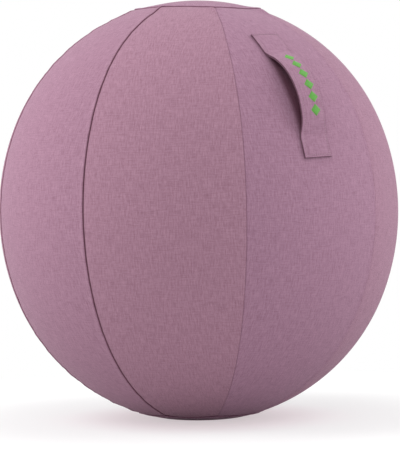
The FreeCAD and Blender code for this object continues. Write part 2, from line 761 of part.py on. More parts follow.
# Guard behind the zip, which keeps the slider off the bladder
guard = new_body("zip_guard", zip_centre, zip_azimuth)
guard_section = new_sketch(guard, "zip_guard_section", "XY_Plane")
floor_in = at.side_arc_radius - guard_floor
guard_under = guard_top + at.guard
outline(guard_section, [
    across_zip(guard_top, at.guard_half_width, -1),
    across_zip(guard_top, guard_bend, -1),
    (floor_in, -at.guard_floor_half_width),
    (floor_in, at.guard_floor_half_width),
    across_zip(guard_top, guard_bend),
    across_zip(guard_top, at.guard_half_width),
    across_zip(guard_under, at.guard_half_width),
    across_zip(guard_under, guard_bend),
    (floor_in - at.guard, at.guard_floor_half_width),
    (floor_in - at.guard, -at.guard_floor_half_width),
    across_zip(guard_under, guard_bend, -1),
    across_zip(guard_under, at.guard_half_width, -1),
])
turned(guard, guard_section, tape_down, tape_up)

# Slider, closed at rest at the lower end of the teeth. Its own Z runs up the chain.
half_length = at.slider_length / 2
half_cavity = at.tooth_slider_cavity / 2
rear_channel = at.tooth_half_width + at.slider_clearance
front_channel = rear_channel + at.slider_shoulder
rear_half = rear_channel + at.slider_wall
front_half = front_channel + at.slider_wall
plate_top = half_cavity + at.slider_plate
tape_slot = at.tape + 2 * at.slider_clearance
neck_top, neck_foot = half_length / 8, -half_length / 2  # where the channel begins to widen and ends
slider_drop = at.zip_bottom_angle.value + at.slider_rest_gap.value


def along_chain(angle, out=0.0):
    # a point on the chain, an angle below mid height and a distance outside it
    place = FreeCAD.Rotation(V(0, 1, 0), angle).multVec(V(float(chain_radius) + float(out), 0, 0))
    return zip_centre + zip_turn.multVec(place)


def post_sides():
    return both_sides([(0.0, at.slider_post_half_width / 4 - at.slider_clearance),
                       (at.slider_post_half_width, -at.slider_post_length / 2),
                       (at.slider_post_half_width, -half_length + at.slider_plate),
                       (at.slider_post_half_width / 2, -half_length)])


slider = new_body("zip_slider", along_chain(slider_drop), zip_azimuth, slider_drop)
block = new_sketch(slider, "zip_slider_block", "YZ_Plane")
corner = at.slider_wall
outline(block, both_sides([
    (rear_half - corner, half_length),
    (rear_half, half_length - corner),
    (rear_half, neck_top),
    (front_half, neck_foot),
    (front_half, -half_length + 2 * corner),
    (front_half - 2 * corner, -half_length),
]))
pad(slider, block, 2 * plate_top, middle=True)
channel = new_sketch(slider, "zip_slider_channel", "YZ_Plane")
outline(channel, both_sides([
    (rear_channel, 2 * half_length),
    (rear_channel, neck_top),
    (front_channel, neck_foot),
    (front_channel, -2 * half_length),
]))
outline(channel, post_sides())
cut(slider, channel, 2 * half_cavity, middle=True)
slots = new_sketch(slider, "zip_slider_slots", "YZ_Plane")
outline(slots, both_sides([(2 * front_half, 2 * half_length), (2 * front_half, -2 * half_length)]))
outline(slots, post_sides())
cut(slider, slots, tape_slot, middle=True)
bridge = new_sketch(slider, "zip_slider_bridge", "XZ_Plane")
pin_out = plate_top + at.pull_pin_height
outline(bridge, [
    (plate_top - at.slider_plate / 2, -at.bridge_length / 2),
    (plate_top + at.bridge_height / 3, -at.bridge_length / 2),
    (plate_top + at.bridge_height, -at.bridge_length / 4),
    (plate_top + at.bridge_height, at.bridge_length / 4),
    (plate_top + at.bridge_height / 3, at.bridge_length / 2),
    (plate_top - at.slider_plate / 2, at.bridge_length / 2),
])
circle(bridge, pin_out, 0.0, at.pull_pin_radius + at.pull_pin_clearance)
pad(slider, bridge, at.bridge_width, middle=True)

# Pull, hanging straight down from its pin in the slider's bridge
pull = new_body("zip_pull", along_chain(slider_drop, pin_out), zip_azimuth)
half_window = at.bridge_width / 2 + at.pull_gap
arm_out = half_window + at.pull_arm
tab = new_sketch(pull, "zip_pull_tab", "YZ_Plane")
outline(tab, [
    (half_window, at.pull_pin_radius),
    (arm_out, at.pull_pin_radius),
    (arm_out, -at.pull_window),
    (at.pull_width / 2, -2 * at.pull_window),
    (at.pull_width / 2, -at.pull_length + at.pull_arm),
    (at.pull_width / 2 - at.pull_arm, -at.pull_length),
    (-at.pull_width / 2 + at.pull_arm, -at.pull_length),
    (-at.pull_width / 2, -at.pull_length + at.pull_arm),
    (-at.pull_width / 2, -2 * at.pull_window),
    (-arm_out, -at.pull_window),
    (-arm_out, at.pull_pin_radius),
    (-half_window, at.pull_pin_radius),
    (-half_window, -at.pull_window),
    (half_window, -at.pull_window),
])
circle(tab, 0.0, -at.pull_length + 2 * at.pull_hole_radius, at.pull_hole_radius)
pad(pull, tab, at.pull_thickness, middle=True)
pin = new_sketch(pull, "zip_pull_pin", "XZ_Plane")
circle(pin, 0.0, 0.0, at.pull_pin_radius)
pad(pull, pin, 2 * half_window + at.pull_arm, middle=True)

# Stops: a clip on each tape's edge below the teeth and one clip over both above them
stop_gap = math.degrees(at.slider_clearance.value / chain_radius.value)
half_stop = math.degrees(at.stop_length.value / 2 / chain_radius.value)
for name, side in (("left", -1), ("right", 1)):
    drop = at.zip_bottom_angle.value + stop_gap + half_stop
    stop = new_body("zip_stop_" + name, along_chain(drop), zip_azimuth, drop)
    clip = new_sketch(stop, stop.Name + "_clip", "XY_Plane")
    inner_face = side * (at.tooth_root - at.slider_clearance / 2)
    outer_face = side * (at.tooth_root + at.stop_width)
    outline(clip, [
        (at.tooth_height / 2, inner_face),
        (at.tooth_height / 2, outer_face),
        (slit_half, outer_face),
        (slit_half, side * at.tooth_root),
        (-slit_half, side * at.tooth_root),
        (-slit_half, outer_face),
        (-at.tooth_height / 2, outer_face),
        (-at.tooth_height / 2, inner_face),
    ])
    pad(stop, clip, at.stop_length, middle=True)
rise = -(at.zip_top_angle.value + stop_gap + half_stop)
end_stop = new_body("zip_end_stop", along_chain(rise), zip_azimuth, rise)
end_clip = new_sketch(end_stop, "zip_end_stop_clip", "XY_Plane")
right_half = [
    (at.tooth_height / 2, at.tooth_half_width),
    (slit_half, at.tooth_half_width),
    (slit_half, at.tooth_root),
    (-slit_half, at.tooth_root),
    (-slit_half, at.tooth_half_width),
    (-at.tooth_height / 2, at.tooth_half_width),
]
outline(end_clip, right_half + [(x, -y) for x, y in reversed(right_half)])
pad(end_stop, end_clip, at.stop_length, middle=True)
doc.recompute()

# Checks and files
helpers = ("tooth_left", "tooth_right")
kept = [o for o in doc.Objects if o.TypeId in ("PartDesign::Body", "Part::Feature") and o.Label not in helpers]
for item in doc.Objects:
    if "Invalid" in item.State or "Error" in item.State:
        raise RuntimeError("%s failed: %s" % (item.Name, item.State))
for item in kept:
    if item.Shape.isNull() or not item.Shape.isValid() or not item.Shape.Solids:
        raise RuntimeError("%s has no sound shape" % item.Label)
    item.Shape.exportStep("parts/%s.step" % item.Label)
    print(item.Label, len(item.Shape.Solids), "solids,", round(item.Shape.Volume), "mm3")
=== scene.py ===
import math
import bmesh
import bpy
import numpy as np
from mathutils import Matrix, Vector


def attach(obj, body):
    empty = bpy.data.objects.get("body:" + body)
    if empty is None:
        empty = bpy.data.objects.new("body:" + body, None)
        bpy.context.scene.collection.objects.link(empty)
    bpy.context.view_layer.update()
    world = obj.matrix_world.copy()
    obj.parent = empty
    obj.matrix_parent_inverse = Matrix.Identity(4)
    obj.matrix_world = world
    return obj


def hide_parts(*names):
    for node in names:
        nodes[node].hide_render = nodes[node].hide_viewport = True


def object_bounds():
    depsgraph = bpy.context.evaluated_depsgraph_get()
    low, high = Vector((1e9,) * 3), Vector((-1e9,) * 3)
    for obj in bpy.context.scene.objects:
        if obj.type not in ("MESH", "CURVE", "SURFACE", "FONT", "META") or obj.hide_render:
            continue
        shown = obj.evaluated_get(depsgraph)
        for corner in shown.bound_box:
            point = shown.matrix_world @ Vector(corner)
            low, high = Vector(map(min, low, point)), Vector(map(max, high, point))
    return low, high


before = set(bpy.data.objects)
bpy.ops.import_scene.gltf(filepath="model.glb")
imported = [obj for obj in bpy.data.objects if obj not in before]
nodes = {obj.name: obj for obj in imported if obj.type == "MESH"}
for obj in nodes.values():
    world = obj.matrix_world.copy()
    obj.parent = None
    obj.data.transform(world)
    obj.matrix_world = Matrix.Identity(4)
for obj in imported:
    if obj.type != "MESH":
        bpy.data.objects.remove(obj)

# Balance ball chair: sewn cover over an inflated ball, carrying strap, zip in a rear seam.
# Metres, origin on the floor under the ball, strap towards -Y.

cadLow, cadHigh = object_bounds()


# Outline of the ball

ball = {
    "height": cadHigh.z,
    "sideArcRadius": 0.367,  # upright curve of the sides
    "sideArcHalfAngle": math.radians(22),
    "equatorRadius": 0.314,
    "contactRadius": 0.042,  # flat patch on the floor
    "gores": 8,
    "crownApothem": 0.095,  # centre to flat side of the eight-sided panels
    "cornerPulls": [0.010, 0.011, 0, 0, 0, 0, 0, 0.002],  # how far each corner of the crown is drawn out
    "crownShift": 0.0053,  # the crown sits a little off the middle
    "crownShiftWay": math.radians(-46),
    "shiftStart": math.radians(50),  # from the upright, where the shift sets in
    "shiftFull": math.radians(20),
    "frontAzimuth": math.radians(-90),
}

arcOffset = ball["sideArcRadius"] - ball["equatorRadius"]
shoulderRadius = ball["sideArcRadius"] - arcOffset / math.cos(ball["sideArcHalfAngle"])
shoulderRise = arcOffset * math.tan(ball["sideArcHalfAngle"])
topCentre = ball["height"] - shoulderRadius
middleHeight = topCentre - shoulderRise
lowCentre = middleHeight - shoulderRise
baseBend = (shoulderRadius ** 2 - ball["contactRadius"] ** 2 - lowCentre ** 2) / (2 * (shoulderRadius - lowCentre))
joinAngle = math.atan2(baseBend - lowCentre, ball["contactRadius"])

# Each arc, from the base to the top, in the upright plane: centre, radius, first angle, turn and the side it faces
profileArcs = [
    (complex(centreOut, centreUp), radius, first, last - first, 1) for centreOut, centreUp, radius, first, last in (
        (ball["contactRadius"], baseBend, baseBend, -math.pi / 2, joinAngle),
        (0, lowCentre, shoulderRadius, joinAngle, -ball["sideArcHalfAngle"]),
        (-arcOffset, middleHeight, ball["sideArcRadius"], -ball["sideArcHalfAngle"], ball["sideArcHalfAngle"]),
        (0, topCentre, shoulderRadius, ball["sideArcHalfAngle"], math.pi / 2))]
arcLengths = [radius * turn for _, radius, _, turn, _ in profileArcs]
shoulderStart = ball["contactRadius"] + sum(arcLengths[:3])  # way up to the upper shoulder
fullWay = ball["contactRadius"] + sum(arcLengths)
goreAngle = 2 * math.pi / ball["gores"]
roundOff = 1e-9


def followArcs(arcs, ways, start, place, facing):
    # place and outward direction, a way along a chain of arcs in the upright plane
    for centre, radius, first, turn, side in arcs:
        part = np.clip((ways - start) / radius, 0, abs(turn))
        spoke = np.exp(1j * (first + math.copysign(1, turn) * part))
        here = ways >= start - roundOff
        place, facing = np.where(here, centre + radius * spoke, place), np.where(here, side * spoke, facing)
        start += radius * abs(turn)
    return place, facing


def profileAt(way):
    # distance from the axis, height and outward direction, a way up along the skin from the base's middle
    flat = np.minimum(way, ball["contactRadius"]) + 0j
    place, facing = followArcs(profileArcs, way, ball["contactRadius"], flat, np.full(flat.shape, -1j))
    return place.real, place.imag, facing.real, facing.imag


def onBall(azimuth, way, lift):
    # points that stand a lift off the skin
    out, up, outward, upward = profileAt(way)
    reach = out + lift * outward
    return shiftCrown(np.stack([reach * np.cos(azimuth), reach * np.sin(azimuth), up + lift * upward], axis=-1))


def shiftCrown(points):
    # slides the top of the cover over the ball, and everything sewn to it
    middle = np.array([0, 0, topCentre])
    spoke = points - middle
    fromUpright = np.arccos(np.clip(spoke[..., 2] / np.linalg.norm(spoke, axis=-1), -1, 1))
    part = eased((ball["shiftStart"] - fromUpright) / (ball["shiftStart"] - ball["shiftFull"]))
    turn = (ball["crownShift"] / shoulderRadius * part)[..., None]
    axis = np.array([-math.sin(ball["crownShiftWay"]), math.cos(ball["crownShiftWay"]), 0])
    along = (spoke @ axis)[..., None] * axis
    return middle + spoke * np.cos(turn) + np.cross(axis, spoke) * np.sin(turn) + along * (1 - np.cos(turn))


def eased(part):
    # from 0 to 1, slow at both ends
    part = np.clip(part, 0, 1)
    return part * part * (3 - 2 * part)


def wayAtBase(out):
    joinOut = shoulderRadius * math.cos(joinAngle)
    onBend = np.arcsin(np.clip((out - ball["contactRadius"]) / baseBend, 0, 1))
    beside = ball["contactRadius"] + baseBend * onBend
    above = ball["contactRadius"] + arcLengths[0] + shoulderRadius * (-np.arccos(out / shoulderRadius) - joinAngle)
    return np.where(out > joinOut, above, np.where(out > ball["contactRadius"], beside, out))


def wayAtCrown(out):
    return shoulderStart + shoulderRadius * (np.arccos(out / shoulderRadius) - ball["sideArcHalfAngle"])


def panelEdge(azimuth, crown):
    # distance from the axis to the edge of the crown or base, which runs straight from corner to corner
    part = (azimuth - ball["frontAzimuth"]) / goreAngle + 0.5
    before = np.floor(part + roundOff)
    corner = ball["crownApothem"] / math.cos(goreAngle / 2)
    pulls = np.array(ball["cornerPulls"]) * crown
    first, second = (corner + pulls[np.mod(before + i, ball["gores"]).astype(int)] for i in (0, 1))
    turn = (part - before) * goreAngle
    return first * second * math.sin(goreAngle) / (first * np.sin(turn) + second * np.sin(goreAngle - turn))


# Meshes of cloth: a face, a back and the edges between them

sheet = {
    "patternMargin": 0.001,  # how far the back's weave reaches past the face's
    "sharpFrom": math.radians(55),
}


def shellMesh(name, face, back, weave, closedRound=False):
    rows, columns = face.shape[:2]
    backStart = rows * columns
    points = np.concatenate([face.reshape(-1, 3), back.reshape(-1, 3)])
    quads = []
    for i in range(rows - 1):
        for j in range(columns if closedRound else columns - 1):
            k = (j + 1) % columns
            a, b, c, d = i * columns + j, i * columns + k, (i + 1) * columns + k, (i + 1) * columns + j
            quads.append((a, b, c, d))
            quads.append((backStart + d, backStart + c, backStart + b, backStart + a))
    around = [j % columns for j in range(columns + closedRound)]
    borders = [[(0, j) for j in around], [(rows - 1, j) for j in reversed(around)]]
    if not closedRound:
        borders += [[(i, columns - 1) for i in range(rows)], [(i, 0) for i in reversed(range(rows))]]
    for border in borders:
        flat = [i * columns + j for i, j in border]
        quads += [(b, a, backStart + a, backStart + b) for a, b in zip(flat, flat[1:])]
    mesh = bpy.data.meshes.new(name)
    mesh.from_pydata(points.tolist(), [], quads)
    pattern = weave.reshape(-1, 2)
    middle = (pattern.min(0) + pattern.max(0)) / 2
    grow = 1 + 2 * sheet["patternMargin"] / np.ptp(pattern, axis=0)
    pattern = np.concatenate([pattern, middle + (pattern - middle) * grow])
    layer = mesh.uv_layers.new(name="weave")
    corner = np.zeros(len(mesh.loops), dtype=np.int32)
    mesh.loops.foreach_get("vertex_index", corner)
    layer.data.foreach_set("uv", pattern[corner].astype(np.float32).ravel())
    smoothMesh(mesh)
    mesh.validate()
    return mesh


def smoothMesh(mesh):
    mesh.shade_smooth()
    mesh.set_sharp_from_angle(angle=sheet["sharpFrom"])


def newObject(name, data):
    made = bpy.data.objects.new(name, data)
    bpy.context.scene.collection.objects.link(made)
    return made


def addPiece(name, mesh, material, slot=None, replaced=(), **cut):
    piece = newObject(name, mesh)
    mesh.materials.clear()
    mesh.materials.append(material)
    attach(piece, "ball")
    if replaced:
        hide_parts(*replaced)


def setTone(mesh, tone, shadeAndPress):
    # how far the yarn leans to the cooler dye, and where painted shade and pressed cloth darken it, on the face and
    # the back alike
    for label, values in (("tone", np.full(shadeAndPress.shape, tone)), ("shadeAndPress", shadeAndPress)):
        attribute = mesh.attributes.new(label, "FLOAT", "POINT")
        attribute.data.foreach_set("value", np.tile(values.ravel(), 2).astype(np.float32))


# Materials

def srgb(red, green, blue):
    # a colour as a picture shows it, 0 to 255, made linear
    channels = [c / 255 for c in (red, green, blue)]
    return [c / 12.92 if c <= 0.04045 else ((c + 0.055) / 1.055) ** 2.4 for c in channels] + [1]


def newMaterial(name, **values):
    material = bpy.data.materials.new(name)
    material.use_nodes = True
    shader = material.node_tree.nodes["Principled BSDF"]
    for socket, value in values.items():
        shader.inputs[socket.replace("_", " ")].default_value = value
    return material, material.node_tree, shader


def feed(tree, value, socket):
    # joins another node's output to a socket, or sets the socket's value
    if isinstance(value, bpy.types.NodeSocket):
        tree.links.new(value, socket)
    elif value is not None:
        socket.default_value = value


def newNode(tree, kind, **settings):
    # settings in lower case are the node's own, the others are its sockets
    node = tree.nodes.new(kind)
    for key, value in settings.items():
        if key in node.bl_rna.properties:
            setattr(node, key, value)
        else:
            feed(tree, value, node.inputs[key.replace("_", " ")])
    return node


def calculate(tree, operation, first, second=None, clamp=False):
    node = newNode(tree, "ShaderNodeMath", operation=operation, use_clamp=clamp)
    feed(tree, first, node.inputs[0])
    feed(tree, second, node.inputs[1])
    return node.outputs[0]


def mixColours(tree, factor, first, second, blend="MIX"):
    mix = newNode(tree, "ShaderNodeMix", data_type="RGBA", blend_type=blend, Factor=factor, A=first, B=second)
    return mix.outputs["Result"]


def newGroup(name, inputs, outputs, kind="ShaderNodeTree"):
    tree = bpy.data.node_groups.new(name, kind)
    for way, sockets in (("INPUT", inputs), ("OUTPUT", outputs)):
        for label, socketKind in sockets.items():
            tree.interface.new_socket(label, in_out=way, socket_type="NodeSocket" + socketKind)
    return tree, tree.nodes.new("NodeGroupInput").outputs, tree.nodes.new("NodeGroupOutput").inputs


def addSurface(tree, shader, colour, height, strength, distance):
    relief = newNode(tree, "ShaderNodeBump", Strength=strength, Distance=distance, Height=height)
    tree.links.new(relief.outputs[0], shader.inputs["Normal"])
    tree.links.new(colour, shader.inputs["Base Color"])


yarn = {
    "pitch": 0.0006,
    "slubLength": 14.0,  # in thread pitches
    "streakLength": 9,  # in streak widths
    "weftStreaks": 0.7,
    "weftSlubs": 0.6,
    "slubs": 0.6,
    "edgeSharpness": 3.0,  # where a thread dives under another
    "threadShade": 0.3,
    "level": 0.31,
    "relief": 1.6,  # of the streaks, against the threads
    "noiseRoughness": 0.6,
    "bumpDistance": 0.0003,
    # dark plum that painted shade and pressed cloth multiply the cloth towards
    "shadeAndPress": srgb(124, 60, 84),
}


def buildWeaveGroup():
    # plain weave with uneven, slubby yarn, on a UV map in metres
    tree, given, result = newGroup("wovenCloth", {
        "Weave": "Vector", "Thread Pitch": "Float", "Streak Width": "Float", "Streak Length": "Float",
        "Streak Contrast": "Float", "Dark Yarn": "Color", "Light Yarn": "Color",
    }, {"Colour": "Color", "Height": "Float"})
    split = newNode(tree, "ShaderNodeSeparateXYZ", Vector=given["Weave"])
    across, along = split.outputs["X"], split.outputs["Y"]
    width, length, pitch = given["Streak Width"], given["Streak Length"], given["Thread Pitch"]

    def times(first, second):
        return calculate(tree, "MULTIPLY", first, second)

    def plus(first, second, clamp=False):
        return calculate(tree, "ADD", first, second, clamp)

    def divided(first, second):
        return calculate(tree, "DIVIDE", first, second)

    def streaks(wide, tall, depth, detail):
        place = newNode(tree, "ShaderNodeCombineXYZ", X=divided(across, wide), Y=divided(along, tall), Z=depth)
        noise = newNode(tree, "ShaderNodeTexNoise", Scale=1.0, Detail=detail, Roughness=yarn["noiseRoughness"],
                        Vector=place.outputs[0])
        return calculate(tree, "SUBTRACT", noise.outputs["Fac"], 0.5)

    def wave(place):
        return calculate(tree, "SINE", divided(times(place, math.pi), pitch))

    slub = times(pitch, yarn["slubLength"])
    coarse = plus(streaks(width, length, 0.0, 2.0), times(streaks(length, width, 7.0, 2.0), yarn["weftStreaks"]))
    fine = plus(streaks(pitch, slub, 3.0, 1.0), times(streaks(slub, pitch, 11.0, 1.0), yarn["weftSlubs"]))
    both = plus(times(coarse, given["Streak Contrast"]), times(fine, yarn["slubs"]))
    waveAcross, waveAlong = wave(across), wave(along)
    warpUp = plus(times(times(waveAcross, waveAlong), yarn["edgeSharpness"]), 0.5, clamp=True)
    thread = newNode(tree, "ShaderNodeMix", Factor=warpUp, A=calculate(tree, "ABSOLUTE", waveAlong),
                     B=calculate(tree, "ABSOLUTE", waveAcross)).outputs["Result"]
    shade = plus(plus(both, times(thread, yarn["threadShade"])), yarn["level"], clamp=True)
    tree.links.new(mixColours(tree, shade, given["Dark Yarn"], given["Light Yarn"]), result["Colour"])
    tree.links.new(plus(thread, times(both, yarn["relief"])), result["Height"])
    return tree


weaveGroup = buildWeaveGroup()


def wovenMaterial(name, dark, light, coolDark=None, coolLight=None, pitch=yarn["pitch"], streak=0.002,
                  contrast=0.64, bump=0.4, **values):
    material, tree, shader = newMaterial(name, **values)

    def dyed(warm, cool):
        if not cool:
            return warm
        tone = newNode(tree, "ShaderNodeAttribute", attribute_name="tone")
        return mixColours(tree, tone.outputs["Fac"], warm, cool)

    place = newNode(tree, "ShaderNodeUVMap", uv_map="weave")
    cloth = newNode(tree, "ShaderNodeGroup", node_tree=weaveGroup, Weave=place.outputs[0], Thread_Pitch=pitch,
                    Streak_Width=streak, Streak_Length=streak * yarn["streakLength"], Streak_Contrast=contrast,
                    Dark_Yarn=dyed(dark, coolDark), Light_Yarn=dyed(light, coolLight))
    # painted shade in the seams, on the strap and behind it, with pressed cloth in the seams, read from the mesh's
    # attribute
    shadeAndPress = newNode(tree, "ShaderNodeAttribute", attribute_name="shadeAndPress")
    shadedCloth = mixColours(tree, shadeAndPress.outputs["Fac"], cloth.outputs["Colour"], yarn["shadeAndPress"], "MULTIPLY")
    addSurface(tree, shader, shadedCloth, cloth.outputs["Height"], bump, yarn["bumpDistance"])
    return material


coverCloth = wovenMaterial(
    "coverCloth", srgb(139, 94, 114), srgb(203, 159, 180), srgb(136, 93, 118), srgb(199, 157, 184),
    Roughness=0.9, Sheen_Weight=0.2, Sheen_Roughness=0.45, Sheen_Tint=srgb(226, 210, 220), Specular_IOR_Level=0.2)
innerCloth = wovenMaterial("innerCloth", srgb(96, 70, 84), srgb(150, 118, 134), pitch=0.0008, Roughness=0.92,
                           Sheen_Weight=0.2, Specular_IOR_Level=0.2)
webbingCloth = wovenMaterial("webbingCloth", srgb(90, 66, 78), srgb(132, 100, 116), pitch=0.0014, streak=0.003,
                             contrast=0.4, bump=0.7, Roughness=0.8, Specular_IOR_Level=0.3)
tapeCloth = wovenMaterial("tapeCloth", srgb(92, 62, 78), srgb(128, 92, 110), pitch=0.0007, streak=0.0014,
                          contrast=0.3, bump=0.6, Roughness=0.85, Specular_IOR_Level=0.3)


def buildGrainGroup():
    # fine speckle and soft patches for moulded and cast pieces, on Object coordinates
    tree, given, result = newGroup("mouldedGrain", {
        "Scale": "Float", "Patch Scale": "Float", "Low": "Float", "High": "Float", "Dark": "Color", "Light": "Color",
    }, {"Colour": "Color", "Roughness": "Float", "Height": "Float"})
    place = newNode(tree, "ShaderNodeTexCoord").outputs["Object"]
    fine, patch = (
        newNode(tree, "ShaderNodeTexNoise", Detail=detail, Vector=place, Scale=given[size]).outputs["Fac"]
        for detail, size in ((3.0, "Scale"), (2.0, "Patch Scale")))
    spread = newNode(tree, "ShaderNodeMapRange", Value=patch, From_Min=0.3, From_Max=0.7, To_Min=given["Low"],
                     To_Max=given["High"])
    tree.links.new(mixColours(tree, patch, given["Dark"], given["Light"]), result["Colour"])
    tree.links.new(spread.outputs["Result"], result["Roughness"])
    tree.links.new(fine, result["Height"])
    return tree


grainGroup = buildGrainGroup()


def mouldedMaterial(name, dark, light, low, high, scale=900.0, patchScale=60.0, bump=0.1, **values):
    material, tree, shader = newMaterial(name, **values)
    grain = newNode(tree, "ShaderNodeGroup", node_tree=grainGroup, Scale=scale, Patch_Scale=patchScale, Low=low,
                    High=high, Dark=dark, Light=light)
    addSurface(tree, shader, grain.outputs["Colour"], grain.outputs["Height"], bump, 0.0002)
    tree.links.new(grain.outputs["Roughness"], shader.inputs["Roughness"])
    return material


teethPlastic = mouldedMaterial("teethPlastic", srgb(104, 70, 88), srgb(132, 95, 113), 0.28, 0.42, IOR=1.5)
zipMetal = mouldedMaterial("zipMetal", srgb(118, 84, 100), srgb(146, 110, 126), 0.3, 0.45, bump=0.15,
                           Coat_Weight=0.4, Coat_Roughness=0.2)
ballVinyl = mouldedMaterial("ballVinyl", srgb(150, 152, 156), srgb(176, 178, 182), 0.35, 0.5, scale=400.0, IOR=1.53)
valvePlastic = mouldedMaterial("valvePlastic", srgb(214, 214, 210), srgb(232, 232, 228), 0.3, 0.4, IOR=1.5)


def threadMaterial(name, dark, light, **values):
    # sewing thread with a fine fleck, on Object coordinates
    material, tree, shader = newMaterial(name, **values)
    place = newNode(tree, "ShaderNodeTexCoord")
    fleck = newNode(tree, "ShaderNodeTexNoise", Scale=1400.0, Detail=2.0, Vector=place.outputs["Object"])
    addSurface(tree, shader, mixColours(tree, fleck.outputs["Fac"], dark, light), fleck.outputs["Fac"], 0.4, 0.0001)
    return material


seamThread = threadMaterial("seamThread", srgb(150, 110, 130), srgb(212, 178, 194), Roughness=0.6,
                            Sheen_Weight=0.3, Specular_IOR_Level=0.4)
motifThread = threadMaterial("motifThread", srgb(70, 150, 45), srgb(128, 205, 88), Roughness=0.42,
                             Specular_IOR_Level=0.6)
print("materials made")


# Cover: eight gores

gore = {
    "names": ["panel_front", "panel_front_right", "panel_right", "panel_back_right",
              "panel_back", "panel_back_left", "panel_left", "panel_front_left"],
    "tones": [0.6, 0.25, 0.7, 0.1, 0.6, 0.0, 0.3, 0.0],
    "seams": [0.15, 0.9, 1.0, 1.0, 1.0, 1.0, 1.0, 1.0],  # how deep each seam is pressed
    "leastPress": 0.4,  # how far even a flat seam's edges turn down
    # width of the painted shade and pressed cloth along each seam
    "seamShadeWidth": 0.0024,
    "narrowSeamShade": 0.6,  # share of the width on a seam's raised side
    "cloth": 0.0012,
    "step": 0.0042,  # mesh spacing away from the edges
    "edgeSteps": [0.0, 0.00015, 0.0004, 0.0008, 0.0013, 0.002, 0.003, 0.0045, 0.007, 0.0105],
    "edgeMargin": 1e-6,  # radians that keep a gore's edge in its own eighth
    "ridge": 0.001,  # height over the pressed seam cloth, on one side of a seam
    "ridgeWidth": 0.007,
    "tuck": 0.0004,  # how far the other side sinks
    "tuckWidth": 0.006,
    "levelShare": 0.35,  # of the ridge's and the tuck's width, before they fall off
    "seamDepth": 0.0019,
    "foldRadius": 0.002,
    "narrowFold": 0.7,  # share of the radius on a seam's lower side
    "foldCloth": 0.0003,  # thickness left at a turned edge
    "puckerHeight": 0.0002,
    "puckerReach": 0.014,
    "puckerStart": 0.002,  # from the edge, where they have their full height
    "puckerLengths": [0.011, 0.0165, 0.027, 0.041],
    "puckerUnit": 0.02,  # length of a wave of the height above; longer ones are higher
    "puckerSlant": 140,
    "puckerMiddle": 0.45,  # share of the height at the equator, and what comes on top at the ends
    "puckerEnds": 0.9,
    "puckerSeed": 40,
    "crownPeaks": [0.0022, 0.0045, 0.0022, 0.0022, 0.0022, 0.0022, 0.0022, 0.0022],  # at the crown's corners
    "basePeak": 0.0006,
    "cornerReach": 0.016,
    "zipSeam": 3,  # the gore whose far edge is beside the zip
    "slotHalf": 0.0066,
    "slotTop": math.radians(21.6),  # about the side arc's centre
    "slotBottom": math.radians(21.0),
    "slotEase": 0.004,
    "slotFlatten": 0.6,  # how much of the ridge goes beside the zip
}


def smoothFall(distance, width):
    # 1 at the edge, level for a while, and 0 past the width
    return 1 - eased((np.clip(distance / width, 0, 1) - gore["levelShare"]) / (1 - gore["levelShare"]))


def foldDrop(distance, radius):
    # how far a rounded edge has turned down, from 1 at the edge to 0 past its radius
    part = np.clip(1 - distance / radius, 0, 1)
    return 1 - np.sqrt(np.clip(1 - part * part, 0, 1))


def seamShadeAt(distance, width):
    # mask of painted shade and pressed cloth: 1 in a seam, 0 past the width
    return np.clip(1 - distance / width, 0, 1) ** 1.5


def clothShell(name, angles, way, crest, peak, drop, weave, closedRound=False):
    # a panel on the ball: its edges turn down to the seam, and the back follows them
    face = onBall(angles, way, crest + (peak - gore["seamDepth"] - crest) * drop)
    backDrop = (gore["seamDepth"] - gore["cloth"] + gore["foldCloth"]) * drop
    back = onBall(angles, way, peak - gore["cloth"] - backDrop)
    return shellMesh(name + "_cloth", face, back, np.stack(weave, axis=-1), closedRound)


def puckers(way, distance, seam):
    # small waves beside a seam, stronger where the ball curves most
    draw = np.random.default_rng(gore["puckerSeed"] + seam)
    waves = np.zeros_like(way)
    for length in gore["puckerLengths"]:
        phase, slant = draw.uniform(0, 2 * math.pi), draw.uniform(-gore["puckerSlant"], gore["puckerSlant"])
        height = math.sqrt(length / gore["puckerUnit"])
        waves += height * np.sin(2 * math.pi * way / length + phase + distance * slant)
    share = gore["puckerMiddle"] + gore["puckerEnds"] * np.abs(way / fullWay - 0.5) * 2
    fade = np.exp(-distance / gore["puckerReach"]) * np.clip(distance / gore["puckerStart"], 0, 1)
    return gore["puckerHeight"] * waves * share * fade


def slotEdge(way):
    # how far the zip's slot cuts a seam edge back
    out, up, _, _ = profileAt(way)
    angle = np.arctan2(up - middleHeight, out + arcOffset)
    inside = np.minimum(gore["slotTop"] - angle, angle + gore["slotBottom"]) * ball["sideArcRadius"]
    part = np.clip(inside / gore["slotEase"], 0, 1)
    return gore["slotHalf"] * np.sqrt(np.clip(1 - (1 - part) ** 2, 0, 1))


def steppedWay(total, step, edgeSteps):
    # from 0 to the total, close together at both ends
    count = max(int(round((total - 2 * edgeSteps[-1]) / step)), 2)
    inside = np.linspace(edgeSteps[-1], total - edgeSteps[-1], count + 1)
    return np.concatenate([edgeSteps[:-1], inside, total - np.array(edgeSteps[:-1])[::-1]])


